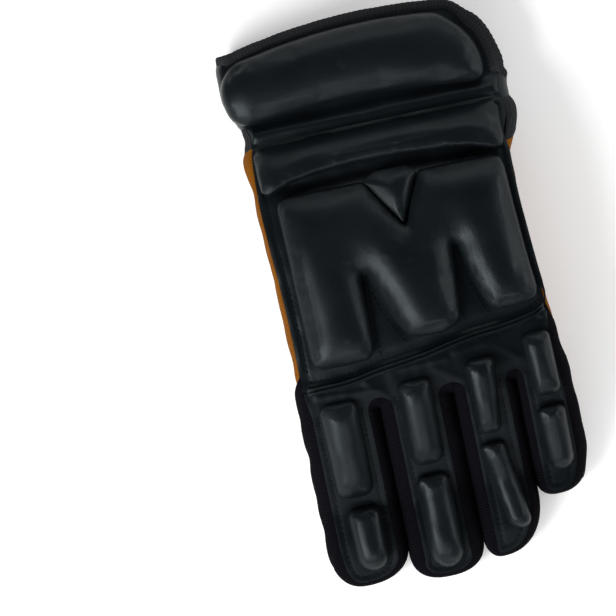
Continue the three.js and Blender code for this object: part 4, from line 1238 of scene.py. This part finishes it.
def stitch_tree():
    """Lays a small thread bead at every pitch along a path, turned to the path and its surface."""
    tree = bpy.data.node_groups.new("stitch_run", "GeometryNodeTree")
    face = tree.interface
    face.new_socket("Geometry", in_out="INPUT", socket_type="NodeSocketGeometry")
    for label, value in (("Pitch", 0.0027), ("Length", 0.0019), ("Width", 0.0006)):
        face.new_socket(label, in_out="INPUT", socket_type="NodeSocketFloat").default_value = value
    face.new_socket("Thread", in_out="INPUT", socket_type="NodeSocketMaterial")
    face.new_socket("Geometry", in_out="OUTPUT", socket_type="NodeSocketGeometry")
    given = tree.nodes.new("NodeGroupInput").outputs

    def step(kind, inputs, **settings):
        return node(tree, kind, inputs, **settings).outputs[0]

    path = step("GeometryNodeMeshToCurve", {"Mesh": given["Geometry"]})
    even = step("GeometryNodeResampleCurve", {"Curve": path, "Length": given["Pitch"]}, mode="LENGTH")
    facing = step("GeometryNodeInputNamedAttribute", {"Name": "facing"}, data_type="FLOAT_VECTOR")
    tangent = step("GeometryNodeInputTangent", {})
    along = step("FunctionNodeAlignRotationToVector", {"Vector": tangent}, axis="X")
    upright = step("FunctionNodeAlignRotationToVector", {"Rotation": along, "Vector": facing}, axis="Z",
                   pivot_axis="X")
    bead = step("GeometryNodeMeshUVSphere", {"Segments": 6, "Rings": 5, "Radius": 0.5})
    size = step("ShaderNodeCombineXYZ", {0: given["Length"], 1: given["Width"], 2: given["Width"]})
    thread = step("GeometryNodeTransform", {"Geometry": bead, "Scale": size})
    laid = step("GeometryNodeInstanceOnPoints", {"Points": even, "Instance": thread, "Rotation": upright})
    real = step("GeometryNodeRealizeInstances", {0: laid})
    smooth = step("GeometryNodeSetShadeSmooth", {"Geometry": real})
    coloured = step("GeometryNodeSetMaterial", {"Geometry": smooth, "Material": given["Thread"]})
    node(tree, "NodeGroupOutput", {0: coloured})
    return tree


STITCHES = stitch_tree()


def surface_run(points, height):
    """A sewn line on the glove's back: places and the surface's direction at each."""
    p = np.asarray(points, float)
    lengths = np.concatenate([[0], np.cumsum(np.hypot(*np.diff(p, axis=0).T))])
    even = np.linspace(0, lengths[-1], max(3, int(lengths[-1] / 1.0)))
    x, y = (np.interp(even, lengths, p[:, k]) for k in range(2))
    step = 0.5
    slope_x = (back(x + step, y) - back(x - step, y)) / (2 * step)
    slope_y = (back(x, y + step) - back(x, y - step)) / (2 * step)
    normal = directions(np.stack([-slope_x, -slope_y, 0 * x + 1], 1))
    return np.stack([x, y, back(x, y) + height], 1), normal


def stitched_piece(name, runs, pitch=2.7, length=1.9, width=0.6):
    """Lays stitches along the runs, as one plain mesh."""
    points, normals, edges = [], [], []
    for places, facing in runs:
        start = sum(len(block) for block in points)
        points.append(places)
        normals.append(facing)
        edges += [(start + i, start + i + 1) for i in range(len(places) - 1)]
    mesh = bpy.data.meshes.new(name + "_path")
    mesh.from_pydata(in_frame(np.concatenate(points)), edges, [])
    attribute = mesh.attributes.new("facing", "FLOAT_VECTOR", "POINT")
    attribute.data.foreach_set("vector", np.concatenate(normals).ravel().astype(np.float32))
    path = add_object(name + "_path", mesh)
    modifier = path.modifiers.new("stitches", "NODES")
    modifier.node_group = STITCHES
    values = {"Pitch": pitch * MM, "Length": length * MM, "Width": width * MM, "Thread": THREAD}
    for item in STITCHES.interface.items_tree:
        if item.in_out == "INPUT" and item.name in values:
            modifier[item.identifier] = values[item.name]
    bpy.context.view_layer.update()
    plain = bpy.data.meshes.new_from_object(path.evaluated_get(bpy.context.evaluated_depsgraph_get()))
    plain.name = name
    bpy.data.objects.remove(path)
    return finish_piece(add_object(name, plain), "black_vinyl")


# The sewn lines on either side of each dart
DARTS = [
    [(-17.4, 5), (-17.6, -8), (-18.4, -26)], [(-16.4, 1), (-14, -7.5), (-10.6, -15), (-6.6, -22.5)],
    [(24, 8), (22.8, -6), (22.2, -19)], [(25.2, 6.5), (27.2, -3), (29.6, -11), (32.4, -18)],
]
CUFF_LINE = [(-50, 80.2), (-30, 81.4), (0, 82), (30, 81), (52, 79.6)]


def stitch_pieces():
    border = line_down(72, -33, 40, back_left, 2.9)
    stitched_piece("border_stitches", [surface_run(border, height=0.0)])
    stitched_piece("dart_stitches", [surface_run(line, height=0.25) for line in DARTS])
    runs = []
    for finger in FINGERS:
        rows = finger_places(finger, 1)
        line = drawn_in(rows, rows[:, 5] + SEAM + 2.1)
        low, past_tip = line[:, 1] < -46, line[:, 0] - finger["tip"][0]
        runs += [surface_run(line[low & half], height=0.0) for half in (past_tip < 0, past_tip > 0)]
    stitched_piece("finger_stitches", runs, pitch=2.6, length=1.7, width=0.5)
    stitched_piece("cuff_stitches", [surface_run(CUFF_LINE, height=0.1)], pitch=3.0, length=2.1, width=0.55)


# Light, floor and camera

PHOTO_WIDTH = 616
PHOTO_SCALE = 0.45  # millimetres to a pixel
ROLL = math.radians(12)
CAMERA_HEIGHT = 5.0
SENSOR = 36
AIM = (-45.8, 0.7 + PLAN_SHIFT, 28)
# Soft boxes: way from the glove in the picture (right, up), height, distance, size, power
LIGHTS = {
    "key_box": (-0.72, -0.55, 0.95, 1.3, (0.8, 0.6), 25),
    "front_strip": (0.05, -1.0, 0.95, 1.2, (2.0, 0.14), 9),
    "front_box": (-0.3, -1.0, 0.5, 1.2, (2.0, 0.5), 6),
    "top_box": (0.1, 1.0, 0.55, 1.3, (2.2, 0.7), 10),
    "right_box": (1.0, 0.2, 0.5, 1.5, (1.4, 0.6), 12),
}
LIGHT_TARGET = Vector((0, 0, 0.02))
WORLD_LIGHT = 0.06
FLOOR_REACH, FLOOR_DEPTH, FLOOR_WHITE, FLOOR_GLOW = 3.0, -0.0002, 0.93, 0.27


def picture_direction(right, up):
    """A direction in the plan, from shares of the picture's right and up."""
    c, s = math.cos(ROLL), math.sin(ROLL)
    return Vector((right * c + up * s, -right * s + up * c, 0))


def set_camera():
    data = bpy.data.cameras.new("camera")
    camera = add_object("camera", data)
    data.sensor_width = SENSOR
    data.lens = SENSOR * CAMERA_HEIGHT / (PHOTO_WIDTH * PHOTO_SCALE * MM)
    turn = Matrix((picture_direction(1, 0), picture_direction(0, 1), Vector((0, 0, 1)))).transposed()
    place = Vector(AIM) * MM + Vector((0, 0, CAMERA_HEIGHT))
    camera.matrix_world = Matrix.Translation(place) @ turn.to_4x4()
    bpy.context.scene.camera = camera


def set_lights():
    """Large soft boxes low round the glove and a narrow strip over its front, in a dim even room: flat
    vinyl stays dark and rolled edges shine."""
    world = bpy.data.worlds.new("studio")
    bpy.context.scene.world = world
    world.use_nodes = True
    world.node_tree.nodes["Background"].inputs[0].default_value = (1, 1, 1, 1)
    world.node_tree.nodes["Background"].inputs[1].default_value = WORLD_LIGHT
    for name, (right, up, rise, reach, size, power) in LIGHTS.items():
        data = bpy.data.lights.new(name, "AREA")
        data.shape = "RECTANGLE"
        data.size, data.size_y = size
        data.energy = power
        light = add_object(name, data)
        place = LIGHT_TARGET + picture_direction(right, up).normalized() * reach + Vector((0, 0, rise))
        light.location = place
        light.rotation_euler = (LIGHT_TARGET - place).to_track_quat("-Z", "Y").to_euler()


def set_floor():
    mesh = bpy.data.meshes.new("floor")
    corners = [(x * FLOOR_REACH, y * FLOOR_REACH, FLOOR_DEPTH)
               for x, y in ((-1, -1), (1, -1), (1, 1), (-1, 1))]
    mesh.from_pydata(corners, [], [(0, 1, 2, 3)])
    material, tree, shader = blank_material("floor", 0.9)
    feed(tree, shader, {"Base Color": (FLOOR_WHITE, FLOOR_WHITE, FLOOR_WHITE, 1),
                        "Emission Color": (1, 1, 1, 1), "Emission Strength": FLOOR_GLOW})
    mesh.materials.append(material)
    add_object("floor", mesh)


set_camera()
set_lights()
set_floor()

hand_back_piece()
pad_piece("back_pad", BACK_PAD_OUTLINE, BACK_PAD_FORM, step=0.8, fill=0.8)
pad_piece("back_tongue", TONGUE_OUTLINE, TONGUE_FORM, step=0.5, fill=0.5)
pad_piece("wrist_roll", ROLL_OUTLINE, ROLL_FORM, step=0.75, fill=0.8)
finger_back_piece()
knuckle_welt_piece()
for order, pad in enumerate(FINGER_PADS):
    finger_pad_piece(order, pad)
for finger in FINGERS:
    finger_gusset(finger)
palm_piece()
wrist_band("cuff_elastic", "knit", TAPE_BLACK, elastic_lower, elastic_upper, ELASTIC,
           lambda s, y: 0.7 * np.abs(np.sin(math.pi * s / 4.2 + 0.6 * wave(s, y, 19, 91))))
wrist_band("cuff_band", "vinyl", VINYL_BLACK, elastic_upper, band_upper, VINYL,
           lambda s, y: 0.6 + 0.3 * wave(s, y, 21, 92))
cuff_flange_piece()
pad_piece("cuff_pad", smooth_loop(cuff_pad_outline(), rounds=1), CUFF_PAD_FORM, step=0.9, fill=0.8)
cuff_binding_piece()
thumb_front_piece()
thumb_back_piece()
thumb_gusset_piece()
thumb_pad_piece("thumb_pad_upper", 1)
thumb_pad_piece("thumb_pad_lower", -1)
stitch_pieces()

bpy.context.scene.view_settings.view_transform = "Standard"
